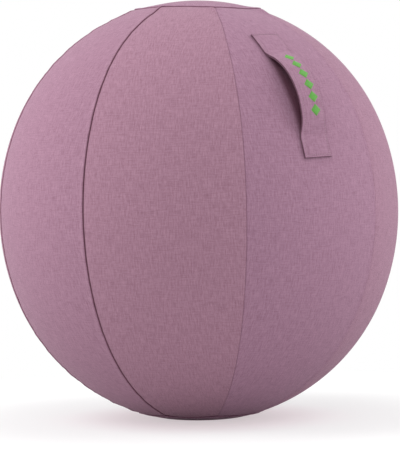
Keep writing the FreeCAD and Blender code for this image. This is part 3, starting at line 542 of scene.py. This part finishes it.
def goreMesh(index):
    # the mesh, the flat length and width of the panel and its area
    steps = gore["edgeSteps"]
    centre = ball["frontAzimuth"] + index * goreAngle
    first, last = wayAtBase(ball["crownApothem"]), wayAtCrown(ball["crownApothem"])
    centreWay = first + steppedWay(last - first, gore["step"], steps)
    centreOut = profileAt(centreWay)[0][:, None]
    halfWidth = centreOut * goreAngle / 2
    farCut, nearCut = ((slotEdge(centreWay) * (index == gore["zipSeam"] + beyond))[:, None] for beyond in (0, 1))
    low, high = nearCut - halfWidth, halfWidth - farCut

    columns = int(round(2 * halfWidth.max() / gore["step"]))
    inside = low + steps[-1] + (high - low - 2 * steps[-1]) * np.linspace(0, 1, columns + 1)
    side = np.array(steps[:-1])[None, :]
    across = np.concatenate([low + side, inside, high - side[:, ::-1]], axis=1)
    turn = across / centreOut
    limit = goreAngle / 2 - gore["edgeMargin"]
    inGore = centre + np.clip(turn, -limit, limit)
    baseWay, crownWay = wayAtBase(panelEdge(inGore, False)), wayAtCrown(panelEdge(inGore, True))
    way = baseWay + (crownWay - baseWay) * ((centreWay - first) / (last - first))[:, None]
    toFar, toNear, toCrown, toBase = high - across, across - low, crownWay - way, way - baseWay

    farNumber = (index + 1) % ball["gores"]
    nearSeam, farSeam = gore["seams"][index], gore["seams"][farNumber]
    slotNear, slotFar = nearCut / gore["slotHalf"], farCut / gore["slotHalf"]
    tuckWidth = gore["tuckWidth"]
    ridge = smoothFall(toFar, gore["ridgeWidth"]) * (1 - gore["slotFlatten"] * slotFar) * farSeam
    tuck = smoothFall(toNear, tuckWidth) * (1 - slotNear) * nearSeam
    tuck = tuck + smoothFall(toCrown, tuckWidth) + smoothFall(toBase, tuckWidth)
    peak = sum(height * np.exp(-(toSeam ** 2 + toEnd ** 2) / gore["cornerReach"] ** 2)
               for toSeam, number in ((toNear, index), (toFar, farNumber))
               for toEnd, height in ((toCrown, gore["crownPeaks"][number]), (toBase, gore["basePeak"])))
    crest = gore["ridge"] * ridge - gore["tuck"] * tuck + peak
    crest = crest + puckers(way, toFar, index + 1) + puckers(way, toNear, index)

    drop, small = np.zeros_like(way), gore["foldRadius"] * gore["narrowFold"]
    for distance, radius, seam in ((toFar, gore["foldRadius"], farSeam), (toNear, small, nearSeam),
                                   (toCrown, small, 1), (toBase, small, 1)):
        depth = gore["leastPress"] + (1 - gore["leastPress"]) * seam
        drop = np.maximum(drop, foldDrop(distance, radius) * depth)
    weave = (turn * profileAt(way)[0], way)
    mesh = clothShell(gore["names"][index], centre + turn, way, crest, peak, drop, weave)
    # painted shade and pressed cloth along all four edges, less where a seam lies flat and none beside the zip's slot
    width = gore["seamShadeWidth"]
    shadeAndPress = np.max([seamShadeAt(toFar, width * gore["narrowSeamShade"]) * farSeam * (1 - slotFar),
                     seamShadeAt(toNear, width) * nearSeam * (1 - slotNear),
                     seamShadeAt(toCrown, width), seamShadeAt(toBase, width)], axis=0)
    setTone(mesh, gore["tones"][index], shadeAndPress)
    area = float(np.sum((halfWidth[1:, 0] + halfWidth[:-1, 0]) * np.diff(centreWay)))
    return mesh, (2 * float(halfWidth.max()), float(last - first)), area


for index, name in enumerate(gore["names"]):
    mesh, flat, area = goreMesh(index)
    addPiece("cover_" + name, mesh, coverCloth, "cover_cloth", [name], flat=flat, area=area, rests_on=["bladder"])
print("gores made, cut", [round(size, 3) for size in flat], "m")


# Cover: eight-sided crown and base

endPanel = {
    "columnsPerSide": 20,
    "ringStep": 0.0042,
    "hole": 0.0008,  # of the mesh, closed by one face
    "puckers": 0.6,
    "puckerStart": 0.3,
    "puckerSeed": 20,
    "crownTone": 0.6,
    "baseTone": 0.5,
}


def endPanelMesh(name, crown):
    apothem, perSide = ball["crownApothem"], endPanel["columnsPerSide"]
    rings = steppedWay(2 * apothem, endPanel["ringStep"], gore["edgeSteps"])
    rings = np.unique(np.round(rings[rings < apothem], 9))
    inwards = np.append(rings, apothem - endPanel["hole"])
    count = ball["gores"] * perSide
    # corners sit on the columns that start each side
    azimuth = ball["frontAzimuth"] + (np.arange(count) / perSide - 0.5) * goreAngle
    azimuth = azimuth if crown else azimuth[::-1]
    turn = (azimuth - ball["frontAzimuth"] + goreAngle / 2) % goreAngle - goreAngle / 2
    out = panelEdge(azimuth, crown) * (1 - inwards / apothem)[:, None]
    toEdge, alongSide, angles, _ = np.broadcast_arrays(inwards[:, None], np.tan(turn) * apothem, azimuth, out)
    way = wayAtCrown(out) if crown else wayAtBase(out)
    toCorner = apothem * math.tan(goreAngle / 2) - np.abs(alongSide)
    nearest = np.mod(np.round((azimuth - ball["frontAzimuth"]) / goreAngle + 0.5), ball["gores"]).astype(int)
    heights = np.array(gore["crownPeaks"])[nearest] if crown else gore["basePeak"]
    peak = heights * np.exp(-(toEdge ** 2 + toCorner ** 2) / gore["cornerReach"] ** 2)
    crest = gore["ridge"] * smoothFall(toEdge, gore["ridgeWidth"]) + peak
    waves = puckers(alongSide + endPanel["puckerStart"], toEdge, endPanel["puckerSeed"] + crown)
    crest = crest + endPanel["puckers"] * waves
    weave = (out * np.cos(angles), out * np.sin(angles))
    mesh = clothShell(name, angles, way, crest, peak, foldDrop(toEdge, gore["foldRadius"]), weave, closedRound=True)
    closeMiddle(mesh, len(inwards) - 1, count)
    # painted shade and pressed cloth along the edges
    setTone(mesh, endPanel["crownTone" if crown else "baseTone"],
            seamShadeAt(toEdge, gore["seamShadeWidth"] * gore["narrowSeamShade"]))
    return mesh


def closeMiddle(mesh, ring, count):
    # the wall at the last ring goes, and a face and a back close the small hole in the middle
    edit = bmesh.new()
    edit.from_mesh(mesh)
    edit.verts.ensure_lookup_table()
    backStart = len(edit.verts) // 2
    faceRing, backRing = ([edit.verts[start + ring * count + j] for j in range(count)] for start in (0, backStart))
    around = set(faceRing + backRing)
    bmesh.ops.delete(edit, geom=[f for f in edit.faces if around.issuperset(f.verts)], context="FACES")
    edit.faces.new(faceRing)
    edit.faces.new(backRing[::-1])
    edit.to_mesh(mesh)
    edit.free()
    smoothMesh(mesh)


for name, crown in (("top_panel", True), ("base_panel", False)):
    side = 2 * ball["crownApothem"]
    area = ball["gores"] * ball["crownApothem"] ** 2 * math.tan(goreAngle / 2)
    addPiece("cover_" + name, endPanelMesh(name, crown), coverCloth, "cover_cloth", [name], flat=(side, side),
             area=area, rests_on=["bladder"])
print("crown and base made")


# Sewing: Geometry Nodes trees that lay threads along any path

def buildSewingTree(name, inputs, layThreads):
    tree, given, result = newGroup(name, {"Geometry": "Geometry", **inputs, "Material": "Material"},
                                   {"Geometry": "Geometry"}, kind="GeometryNodeTree")
    tree.is_modifier = True
    path = newNode(tree, "GeometryNodeMeshToCurve", Mesh=given["Geometry"])
    threads = layThreads(tree, given, path.outputs["Curve"])
    real = newNode(tree, "GeometryNodeRealizeInstances", Geometry=threads)
    smooth = newNode(tree, "GeometryNodeSetShadeSmooth", Geometry=real.outputs["Geometry"])
    dressed = newNode(tree, "GeometryNodeSetMaterial", Geometry=smooth.outputs["Geometry"],
                      Material=given["Material"])
    tree.links.new(dressed.outputs["Geometry"], result["Geometry"])
    return tree


def layStitches(tree, given, path):
    # short threads in a row, each of its own length
    spaced = newNode(tree, "GeometryNodeResampleCurve", mode="LENGTH", Curve=path, Length=given["Pitch"])
    stitch = newNode(tree, "GeometryNodeMeshUVSphere", Segments=8, Rings=6, Radius=0.5)
    along = newNode(tree, "GeometryNodeInputTangent")
    turn = newNode(tree, "FunctionNodeAlignRotationToVector", axis="Z", Vector=along.outputs[0])
    uneven = newNode(tree, "FunctionNodeRandomValue", data_type="FLOAT", Seed=given["Seed"])
    uneven.inputs[2].default_value, uneven.inputs[3].default_value = 0.9, 1.06
    long = calculate(tree, "MULTIPLY", given["Length"], uneven.outputs[1])
    size = newNode(tree, "ShaderNodeCombineXYZ", X=given["Thread"], Y=given["Thread"], Z=long)
    placed = newNode(tree, "GeometryNodeInstanceOnPoints", Points=spaced.outputs["Curve"],
                     Instance=stitch.outputs["Mesh"], Rotation=turn.outputs["Rotation"], Scale=size.outputs[0])
    return placed.outputs["Instances"]


def layLines(tree, given, path):
    # a thick line along every path, for threads that lie side by side
    radius = calculate(tree, "MULTIPLY", given["Thread"], 0.5)
    section = newNode(tree, "GeometryNodeCurvePrimitiveCircle", Resolution=6, Radius=radius)
    tube = newNode(tree, "GeometryNodeCurveToMesh", Curve=path, Profile_Curve=section.outputs["Curve"],
                   Fill_Caps=True)
    return tube.outputs["Mesh"]


stitchTree = buildSewingTree(
    "stitchesOnPath", {"Pitch": "Float", "Length": "Float", "Thread": "Float", "Seed": "Int"}, layStitches)
satinTree = buildSewingTree("satinThreads", {"Thread": "Float"}, layLines)


def addSewing(name, paths, tree, material, slot=None, **values):
    # paths are lists of points; the result is one plain mesh
    points, edges = [], []
    for path in paths:
        edges += [(len(points) + i, len(points) + i + 1) for i in range(len(path) - 1)]
        points += [tuple(p) for p in path]
    guide = bpy.data.meshes.new(name + "_path")
    guide.from_pydata(points, edges, [])
    holder = newObject(name + "_path", guide)
    modifier = holder.modifiers.new("sewing", "NODES")
    modifier.node_group = tree
    sockets = {item.name: item.identifier for item in tree.interface.items_tree if item.in_out == "INPUT"}
    for label, value in {**values, "Material": material}.items():
        modifier[sockets[label]] = value
    made = bpy.data.meshes.new_from_object(holder.evaluated_get(bpy.context.evaluated_depsgraph_get()))
    made.name = name
    bpy.data.objects.remove(holder)
    bpy.data.meshes.remove(guide)
    addPiece(name, made, material, slot)


# Carrying strap: lining, webbing and outer cloth, sewn flat at both ends and bowed out between

strap = {
    "width": 0.051,
    "cloth": 0.0011,
    "core": 0.0014,
    "coreInset": 0.0006,
    "gap": 0.00005,  # between the layers
    "topAngle": math.radians(51.75),  # about the shoulder's centre
    "liftAngle": math.radians(44.5),
    "footAngle": math.radians(16.7),  # about the side arc's centre
    "endAngle": math.radians(12.2),
    "liftBend": 0.046,
    "footBend": 0.0185,
    "bowRadius": 0.104,
    "lean": math.radians(3.0),
    "step": 0.0022,
    "lengthStep": 0.00286,
    "edgeSteps": [0.0, 0.0001, 0.0003, 0.0006, 0.001, 0.0016, 0.0024, 0.0034],
    "foldRadius": 0.0011,
    "foldShare": 0.98,  # of the half thickness, so that some stays at the edge
    "sideStitch": 0.0048,  # stitch line in from the sides
    "endStitch": 0.0034,
    "stitchDip": 0.0007,
    "dipWidth": 0.0012,
    # painted shade: in the stitch dips, along the turned sides and at the strap's lower end
    "dipShade": 0.16,
    "sideShade": 0.3,
    "endShade": 0.4,
    "endShadeWidth": 0.0012,
    "hem": 0.00025,  # height of the padded edge, and its width
    "hemWidth": 0.0022,
    "waist": 0.0035,  # the free stretch pulls this much narrower on each side
    "waistEase": 0.03,
    "patch": 0.0008,  # cloth inside the cover
    "patchMargin": 0.005,
    # painted shade over the whole lining under the strap, and on the cover behind the free stretch
    "liningShade": 0.45,
    "shade": 0.8,  # on the cover behind the free stretch
    "shadeEase": 0.011,
    "shadeMargin": 0.002,
    "shadeTop": 0.01,  # radians above the lift
    "shadeFade": 0.05,
    "threadSink": 0.00035,
    "folds": [  # where it leaves the ball and comes back: height, slant, length, middle and reach
        (0.00035, 0.35, 0.013, 0.012, 0.014), (0.0003, -0.3, 0.011, -0.010, 0.011)],
    "stitches": {"Pitch": 0.0034, "Length": 0.0029, "Thread": 0.0007, "Seed": 3},
    "pathPoints": 160,
    "crossPoints": 24,
}


def wayOut(angle):
    return complex(math.cos(angle), math.sin(angle))


def strapArcs():
    # as the profile's arcs, from the upper end down
    onShoulder, onSide = complex(0, topCentre), complex(-arcOffset, middleHeight)
    lift = onShoulder + (shoulderRadius + strap["liftBend"]) * wayOut(strap["liftAngle"])
    foot = onSide + (ball["sideArcRadius"] + strap["footBend"]) * wayOut(strap["footAngle"])
    between = abs(foot - lift)
    toLift, toFoot = strap["liftBend"] + strap["bowRadius"], strap["footBend"] + strap["bowRadius"]
    along = (between ** 2 + toLift ** 2 - toFoot ** 2) / (2 * between)
    aside = math.sqrt(toLift ** 2 - along ** 2)
    towards = (foot - lift) / between
    bow = min((lift + towards * (along + 1j * aside * sign) for sign in (1, -1)), key=abs)

    def angle(way):
        return math.atan2(way.imag, way.real)

    return [
        (centre, radius, first, -side * ((first - last) * side % (2 * math.pi)), side)
        for centre, radius, first, last, side in (
            (onShoulder, shoulderRadius, strap["topAngle"], strap["liftAngle"], 1),
            (lift, strap["liftBend"], strap["liftAngle"] - math.pi, angle(bow - lift), -1),
            (bow, strap["bowRadius"], angle(lift - bow), angle(foot - bow), 1),
            (foot, strap["footBend"], angle(bow - foot), strap["footAngle"] - math.pi, -1),
            (onSide, ball["sideArcRadius"], strap["footAngle"], strap["endAngle"], 1))]


runArcs = strapArcs()
strapLengths = [radius * abs(turn) for _, radius, _, turn, _ in runArcs]
strapLength = sum(strapLengths)
freeStart, freeEnd = strapLengths[0], strapLength - strapLengths[-1]


def strapRun(ways):
    # place and outward direction in the upright plane, a way down along the strap from its upper end
    nowhere = np.zeros(np.shape(ways), dtype=complex)
    return followArcs(runArcs, ways, 0, nowhere, nowhere)


strapFootPoint = Vector((ball["sideArcRadius"] * math.cos(strap["endAngle"]) - arcOffset, 0,
                         middleHeight + ball["sideArcRadius"] * math.sin(strap["endAngle"])))
shoulderPoint = Vector((0, 0, topCentre))
strapPlace = (Matrix.Rotation(ball["frontAzimuth"], 4, "Z") @ Matrix.Translation(shoulderPoint)
              @ Matrix.Rotation(strap["lean"], 4, strapFootPoint - shoulderPoint) @ Matrix.Translation(-shoulderPoint))


def onStrap(way, across, lift):
    # points a lift off the ball's face, or off the strap's run where it bows out
    place, facing = strapRun(way)
    slope = np.arcsin(np.clip(across / shoulderRadius, -1, 1))
    sideways = (shoulderRadius + lift) * np.sin(slope)
    point = place + facing * ((shoulderRadius + lift) * np.cos(slope) - shoulderRadius)
    local = np.stack([point.real, sideways, point.imag, np.ones_like(sideways)], axis=-1)
    return shiftCrown((local @ np.array(strapPlace).T)[..., :3])


def strapWaist(way):
    # 0 at the sewn ends and 1 in the free stretch
    return eased(np.minimum(way - freeStart, freeEnd - way) / strap["waistEase"])


def strapCreases(way, across):
    return sum(height * np.sin(2 * math.pi * (way - start + slant * across) / length)
               * np.exp(-((way - start - middle) / reach) ** 2)
               for start, (height, slant, length, middle, reach) in zip((freeStart, freeEnd), strap["folds"]))


def clothBand(name, low, high, halfWidth, first, last, waisted=True, stitched=False, folded=True, shade=0.0):
    # a band along the strap's run, between two heights off the ball's face
    ways = first + steppedWay(last - first, strap["lengthStep"], strap["edgeSteps"])[:, None]
    side = steppedWay(2 * halfWidth, strap["step"], strap["edgeSteps"])[None, :] - halfWidth
    toSide, toEnd, toLast = halfWidth - np.abs(side), np.minimum(ways - first, last - ways), last - ways
    across = side * (1 - strap["waist"] * waisted / halfWidth * strapWaist(ways))
    ways = ways + 0 * across
    sideFold = foldDrop(toSide, strap["foldRadius"])
    drop = np.maximum(sideFold, foldDrop(toEnd, strap["foldRadius"])) * folded
    # painted shade along the turned sides and at the lower end
    shadeAndPress = strap["sideShade"] * sideFold + strap["endShade"] * foldDrop(toLast, strap["endShadeWidth"])
    top, middle = np.full(ways.shape, high), (low + high) / 2
    if stitched:
        dip = np.maximum(*(np.exp(-((distance - inset) / strap["dipWidth"]) ** 2) for distance, inset in (
            (toSide, strap["sideStitch"]), (toEnd, strap["endStitch"]))))
        hem = strap["hem"] * np.exp(-(toSide / strap["hemWidth"]) ** 2)
        top = top - strap["stitchDip"] * dip + strapCreases(ways, across) + hem
        # painted shade in the stitch dips
        shadeAndPress = np.maximum(shadeAndPress, strap["dipShade"] * dip)
    face, back = (onStrap(ways, across, height + (middle - height) * drop * strap["foldShare"])
                  for height in (top, low))
    mesh = shellMesh(name + "_cloth", face, back, np.stack([across, ways], axis=-1))
    mesh.flip_normals()
    # shade adds an even painted shade over the whole band
    setTone(mesh, gore["tones"][0], shadeAndPress + shade)
    return mesh


layerFloor = strap["gap"]
# the lining carries an even painted shade
for name, thickness, material, slotName, inset, look in (
        ("handle_lining", strap["cloth"], coverCloth, "cover_cloth", 0, {"shade": strap["liningShade"]}),
        ("handle_core", strap["core"], webbingCloth, "webbing", strap["coreInset"], {"folded": False}),
        ("handle_strap", strap["cloth"], coverCloth, "cover_cloth", 0, {"stitched": True})):
    mesh = clothBand(name, layerFloor, layerFloor + thickness, strap["width"] / 2 - inset, 0.0, strapLength, **look)
    cut = {} if name == "handle_core" else {"flat": (strap["width"], strapLength), "rests_on": ["cover_panel_front"]}
    addPiece("strap_" + name, mesh, material, slotName, [name], **cut)
    layerFloor += thickness + strap["gap"]
strapTop = layerFloor - strap["gap"]

patchTop = -(gore["cloth"] + strap["gap"])
patchWidth = strap["width"] + 2 * strap["patchMargin"]
for name, first, last in (("handle_patch_upper", 0.0, freeStart), ("handle_patch_lower", freeEnd, strapLength)):
    mesh = clothBand(name, patchTop - strap["patch"], patchTop, patchWidth / 2, first, last, waisted=False,
                     folded=False)
    addPiece("inside_" + name, mesh, innerCloth, "inner_cloth", [name], flat=(patchWidth, last - first),
             rests_on=["bladder"])


def shadeBehind(mesh):
    # the cloth behind the free stretch stays darker, as little light ever reaches it
    count = len(mesh.vertices)
    places, shadeAndPress = np.zeros(count * 3, dtype=np.float32), np.zeros(count, dtype=np.float32)
    mesh.vertices.foreach_get("co", places)
    mesh.attributes["shadeAndPress"].data.foreach_get("value", shadeAndPress)
    local = np.append(places.reshape(-1, 3), np.ones((count, 1)), axis=1) @ np.array(strapPlace.inverted()).T
    rise = np.arctan2(local[:, 2] - topCentre, local[:, 0])
    footRise = math.atan2(strapRun(freeEnd)[0].imag - topCentre, shoulderRadius)
    inside = eased((strap["width"] / 2 + strap["shadeMargin"] - np.abs(local[:, 1])) / strap["shadeEase"])
    topRise = strap["liftAngle"] + strap["shadeTop"]
    along = np.clip(np.minimum(topRise - rise, rise - footRise) / strap["shadeFade"], 0, 1)
    shaded = np.maximum(shadeAndPress, strap["shade"] * inside * along)
    mesh.attributes["shadeAndPress"].data.foreach_set("value", shaded.astype(np.float32))


shadeBehind(bpy.data.objects["cover_panel_front"].data)

inset, endInset = strap["width"] / 2 - strap["sideStitch"], strap["endStitch"]
threadHeight = strapTop - strap["threadSink"]
alongWays = np.linspace(endInset, strapLength - endInset, strap["pathPoints"])
narrowed = inset * (1 - strap["waist"] / inset * strapWaist(alongWays))
stitchLines = [onStrap(alongWays, side * narrowed, threadHeight) for side in (-1, 1)]
crossWays = np.linspace(-inset, inset, strap["crossPoints"])
stitchLines += [onStrap(np.full(strap["crossPoints"], way), crossWays, threadHeight)
                for way in (endInset, freeStart - endInset, freeEnd + endInset, strapLength - endInset)]
addSewing("strap_stitches", stitchLines, stitchTree, seamThread, "cover_cloth", **strap["stitches"])
print("strap made,", round(strapLength, 3), "m long")


# Sewn motif on the strap: a plain row of lozenges in satin stitch

motif = {
    "count": 6,
    "first": 0.068,
    "spacing": 0.0195,
    "length": 0.0165,
    "width": 0.0165,
    "threads": 30,
    "threadPoints": 7,
    "tip": 0.0004,  # half width of the first and last thread
    "offset": 0.003,  # off the strap's middle
    "thread": 0.0006,
    "raise": 0.0008,
    "sink": 0.0001,
}


def lozengeThreads(middleWay):
    for i in range(motif["threads"]):
        part = (i + 0.5) / motif["threads"] * 2 - 1
        half = motif["width"] / 2 * (1 - abs(part)) + motif["tip"]
        across = np.linspace(-half, half, motif["threadPoints"])
        arch = motif["raise"] * (1 - (across / half) ** 2)
        ways = np.full(motif["threadPoints"], middleWay + part * motif["length"] / 2)
        yield onStrap(ways, across + motif["offset"], strapTop + arch - motif["sink"])


motifPaths = [path for number in range(motif["count"])
              for path in lozengeThreads(motif["first"] + number * motif["spacing"])]
addSewing("strap_motif", motifPaths, satinTree, motifThread, Thread=motif["thread"])
print("motif sewn")


# Zip: tapes and guard as cloth; teeth, slider, pull and stops keep their CAD shapes

zipSize = {
    "azimuth": ball["frontAzimuth"] + (gore["zipSeam"] + 0.5) * goreAngle,
    "topAngle": math.radians(21.9),  # ends of the tapes
    "bottomAngle": math.radians(21.3),
    "tape": 0.0005,
    "tapeDepth": 0.00165,
    "tapeEdge": 0.00135,
    "tapeHalfWidth": 0.015,
    "tapeColumns": 9,
    "guard": 0.0008,
    "guardGap": 0.00005,  # to the tapes, where they are sewn together
    "guardHalfWidth": 0.017,
    "guardFloorHalfWidth": 0.009,
    "guardDepth": 0.00465,  # flat floor behind the slider
    "guardInner": 0.004,
    "step": 0.003,
    "stitchInsets": [0.0022, 0.0068],  # two rows hold each tape to the cover, in from the slot's edge
    "stitchHeight": 0.00005,
    "stitches": {"Pitch": 0.0032, "Length": 0.0027, "Thread": 0.0007, "Seed": 3},
    "stitchPoints": 120,
}


def besideZip(angle, across, depth):
    # points below the ball's face beside the zip, about the side arc's centre
    flat = ball["equatorRadius"] - depth
    reach = np.sqrt(flat ** 2 - across ** 2) + arcOffset
    out, up = reach * np.cos(angle) - arcOffset, middleHeight + reach * np.sin(angle)
    a = zipSize["azimuth"]
    return np.stack([out * math.cos(a) - across * math.sin(a), out * math.sin(a) + across * math.cos(a), up], axis=-1)


def zipBand(name, offsets, depths, thickness):
    rows = int(zipLength / zipSize["step"])
    angles = np.linspace(-zipSize["bottomAngle"], zipSize["topAngle"], rows)[:, None]
    angles, offsets, depths = np.broadcast_arrays(angles, offsets, depths)
    weave = np.stack([offsets, angles * ball["sideArcRadius"]], axis=-1)
    face, back = (besideZip(angles, offsets, depth) for depth in (depths, depths + thickness))
    return shellMesh(name + "_cloth", face, back, weave)


zipLength = (zipSize["topAngle"] + zipSize["bottomAngle"]) * ball["sideArcRadius"]
tapeOffsets = np.linspace(zipSize["tapeEdge"], zipSize["tapeHalfWidth"], zipSize["tapeColumns"])
for name, offsets in (("zip_tape_left", -tapeOffsets[::-1]), ("zip_tape_right", tapeOffsets)):
    mesh = zipBand(name, offsets, zipSize["tapeDepth"] - zipSize["tape"] / 2, zipSize["tape"])
    addPiece("zip_" + name, mesh, tapeCloth, "zip_tape", [name])

guardTop = zipSize["tapeDepth"] + zipSize["tape"] / 2 + zipSize["guardGap"]
guardFloor = ball["equatorRadius"] - zipSize["guardDepth"]
bendAt = zipSize["guardFloorHalfWidth"] + zipSize["guardDepth"] - guardTop
guardHalf = [(zipSize["guardHalfWidth"], guardTop), (bendAt, guardTop)]
guardHalf += [(offset, ball["equatorRadius"] - math.hypot(guardFloor, offset))
              for offset in (zipSize["guardFloorHalfWidth"], zipSize["guardInner"])]
guardOffsets, guardDepths = zip(*([(-offset, depth) for offset, depth in guardHalf] + guardHalf[::-1]))
mesh = zipBand("zip_guard", guardOffsets, guardDepths, zipSize["guard"])
addPiece("zip_zip_guard", mesh, innerCloth, "inner_cloth", ["zip_guard"],
         flat=(2 * zipSize["guardHalfWidth"], zipLength), rests_on=["bladder"])

slotAngles = np.linspace(-gore["slotBottom"], gore["slotTop"], zipSize["stitchPoints"])
zipLines = [besideZip(slotAngles, np.full(zipSize["stitchPoints"], side * (gore["slotHalf"] + inset)),
                      -zipSize["stitchHeight"]) for side in (-1, 1) for inset in zipSize["stitchInsets"]]
addSewing("zip_stitches", zipLines, stitchTree, seamThread, "cover_cloth", **zipSize["stitches"])

for material, names in (
        (teethPlastic, ["zip_teeth_left", "zip_teeth_right"]),
        (zipMetal, ["zip_stop_left", "zip_stop_right", "zip_end_stop", "zip_slider", "zip_pull"]),
        (ballVinyl, ["bladder"]), (valvePlastic, ["valve_seat", "valve_plug"])):
    for name in names:
        nodes[name].data.materials.clear()
        nodes[name].data.materials.append(material)
print("zip dressed")


# Floor, light and camera

view = {
    "azimuth": math.radians(-35.1),
    "distance": 3.24,
    "height": 0.352,
    "aimHeight": 0.304,
    "aimRight": 0.0016,
    "roll": math.radians(0.98),
    "lens": 163.9,
}


def fromView(right, towards, up):
    # a place in the viewer's own directions, from the ball's middle
    a = view["azimuth"]
    sideways, back = Vector((math.cos(a), math.sin(a), 0)), Vector((math.sin(a), -math.cos(a), 0))
    return sideways * right + back * towards + Vector((0, 0, middleHeight + up))


def addCamera():
    camera = newObject("camera", bpy.data.cameras.new("camera"))
    camera.data.lens = view["lens"]
    place = fromView(0, view["distance"], view["height"] - middleHeight)
    aim = fromView(view["aimRight"], 0, view["aimHeight"] - middleHeight)
    facing = (aim - place).to_track_quat("-Z", "Y").to_matrix().to_4x4()
    camera.matrix_world = Matrix.Translation(place) @ facing @ Matrix.Rotation(-view["roll"], 4, "Z")
    bpy.context.scene.camera = camera


addCamera()

light = {
    "worldStrength": 0.58,
    "lamps": {
        "leftHigh": {"place": (-1.8, 0.3, 1.8), "size": 1.6, "power": 25.0},
        "rightHigh": {"place": (1.8, 0.3, 1.8), "size": 1.6, "power": 15.0},
        "leftLow": {"place": (-2.2, 0.0, 0.3), "size": 1.6, "power": 10.0},
        "rightLow": {"place": (2.2, 0.0, 0.3), "size": 1.6, "power": 10.5},
        "front": {"place": (0.0, 3.0, 1.5), "size": 2.0, "power": 12.0},
    },
}


def addLamp(name, place, size, power):
    lamp = bpy.data.lights.new(name, "AREA")
    lamp.shape, lamp.size, lamp.energy = "DISK", size, power
    holder = newObject(name, lamp)
    holder.location = fromView(*place)
    holder.rotation_mode = "QUATERNION"
    holder.rotation_quaternion = (Vector((0, 0, middleHeight)) - holder.location).to_track_quat("-Z", "Y")


for name, values in light["lamps"].items():
    addLamp(name, **values)


def seenPlain(tree):
    # 1 for what the camera sees, also mirrored or through glass, and 0 for what only gives light
    path = newNode(tree, "ShaderNodeLightPath")
    seen = calculate(tree, "ADD", path.outputs["Is Camera Ray"], path.outputs["Is Glossy Ray"])
    return calculate(tree, "ADD", seen, path.outputs["Is Transmission Ray"], clamp=True)


def buildWorld():
    world = bpy.data.worlds.new("studio")
    bpy.context.scene.world = world
    world.use_nodes = True
    tree = world.node_tree
    background = tree.nodes["Background"]
    background.inputs["Color"].default_value = (1, 1, 1, 1)
    level = newNode(tree, "ShaderNodeMapRange", Value=seenPlain(tree), To_Min=light["worldStrength"], To_Max=1.0)
    tree.links.new(level.outputs["Result"], background.inputs["Strength"])


stage = {
    "size": 12.0,
    "drop": 0.0004,  # below the ball
    "colour": srgb(214, 214, 214),
    "glowShare": 0.36,  # of what the camera sees, near the ball
    "glow": 1.58,
    "fadeStart": 0.28,  # from the ball's middle, where the floor turns to plain white
    "fadeEnd": 0.85,
    # pink painted bounce light from the ball, in the floor's glow close to it
    "paintedBounce": (1.0, 0.9, 0.93, 1),
    "paintedBounceStart": 0.12,
    "paintedBounceEnd": 0.27,
}


def buildFloor():
    mesh = bpy.data.meshes.new("floor")
    size = stage["size"]
    mesh.from_pydata([(-size, -size, 0), (size, -size, 0), (size, size, 0), (-size, size, 0)], [], [(0, 1, 2, 3)])
    floor = newObject("floor", mesh)
    floor.location.z = -stage["drop"]
    material, tree, shader = newMaterial("floor", Roughness=0.9, Specular_IOR_Level=0.1)
    shader.inputs["Base Color"].default_value = stage["colour"]
    place, length = newNode(tree, "ShaderNodeTexCoord"), newNode(tree, "ShaderNodeVectorMath", operation="LENGTH")
    tree.links.new(place.outputs["Object"], length.inputs[0])

    def fromMiddle(start, end, low, high):
        # a value that changes with the distance from the ball's middle
        step = newNode(tree, "ShaderNodeMapRange", interpolation_type="SMOOTHSTEP", Value=length.outputs["Value"],
                       From_Min=start, From_Max=end, To_Min=low, To_Max=high)
        return step.outputs["Result"]

    fade = stage["fadeStart"], stage["fadeEnd"]
    # the glow turns pink near the ball: painted bounce light
    paintedBounce = mixColours(tree, fromMiddle(stage["paintedBounceStart"], stage["paintedBounceEnd"], 0, 1), stage["paintedBounce"], (1, 1, 1, 1))
    glow = newNode(tree, "ShaderNodeEmission", Color=paintedBounce, Strength=fromMiddle(*fade, stage["glow"], 1))
    share = calculate(tree, "MULTIPLY", seenPlain(tree), fromMiddle(*fade, stage["glowShare"], 1))
    both = newNode(tree, "ShaderNodeMixShader", Fac=share)
    tree.links.new(shader.outputs[0], both.inputs[1])
    tree.links.new(glow.outputs[0], both.inputs[2])
    tree.links.new(both.outputs[0], tree.nodes["Material Output"].inputs["Surface"])
    mesh.materials.append(material)


buildWorld()
buildFloor()
bpy.context.scene.view_settings.view_transform = "Standard"
print("floor, light and camera made")
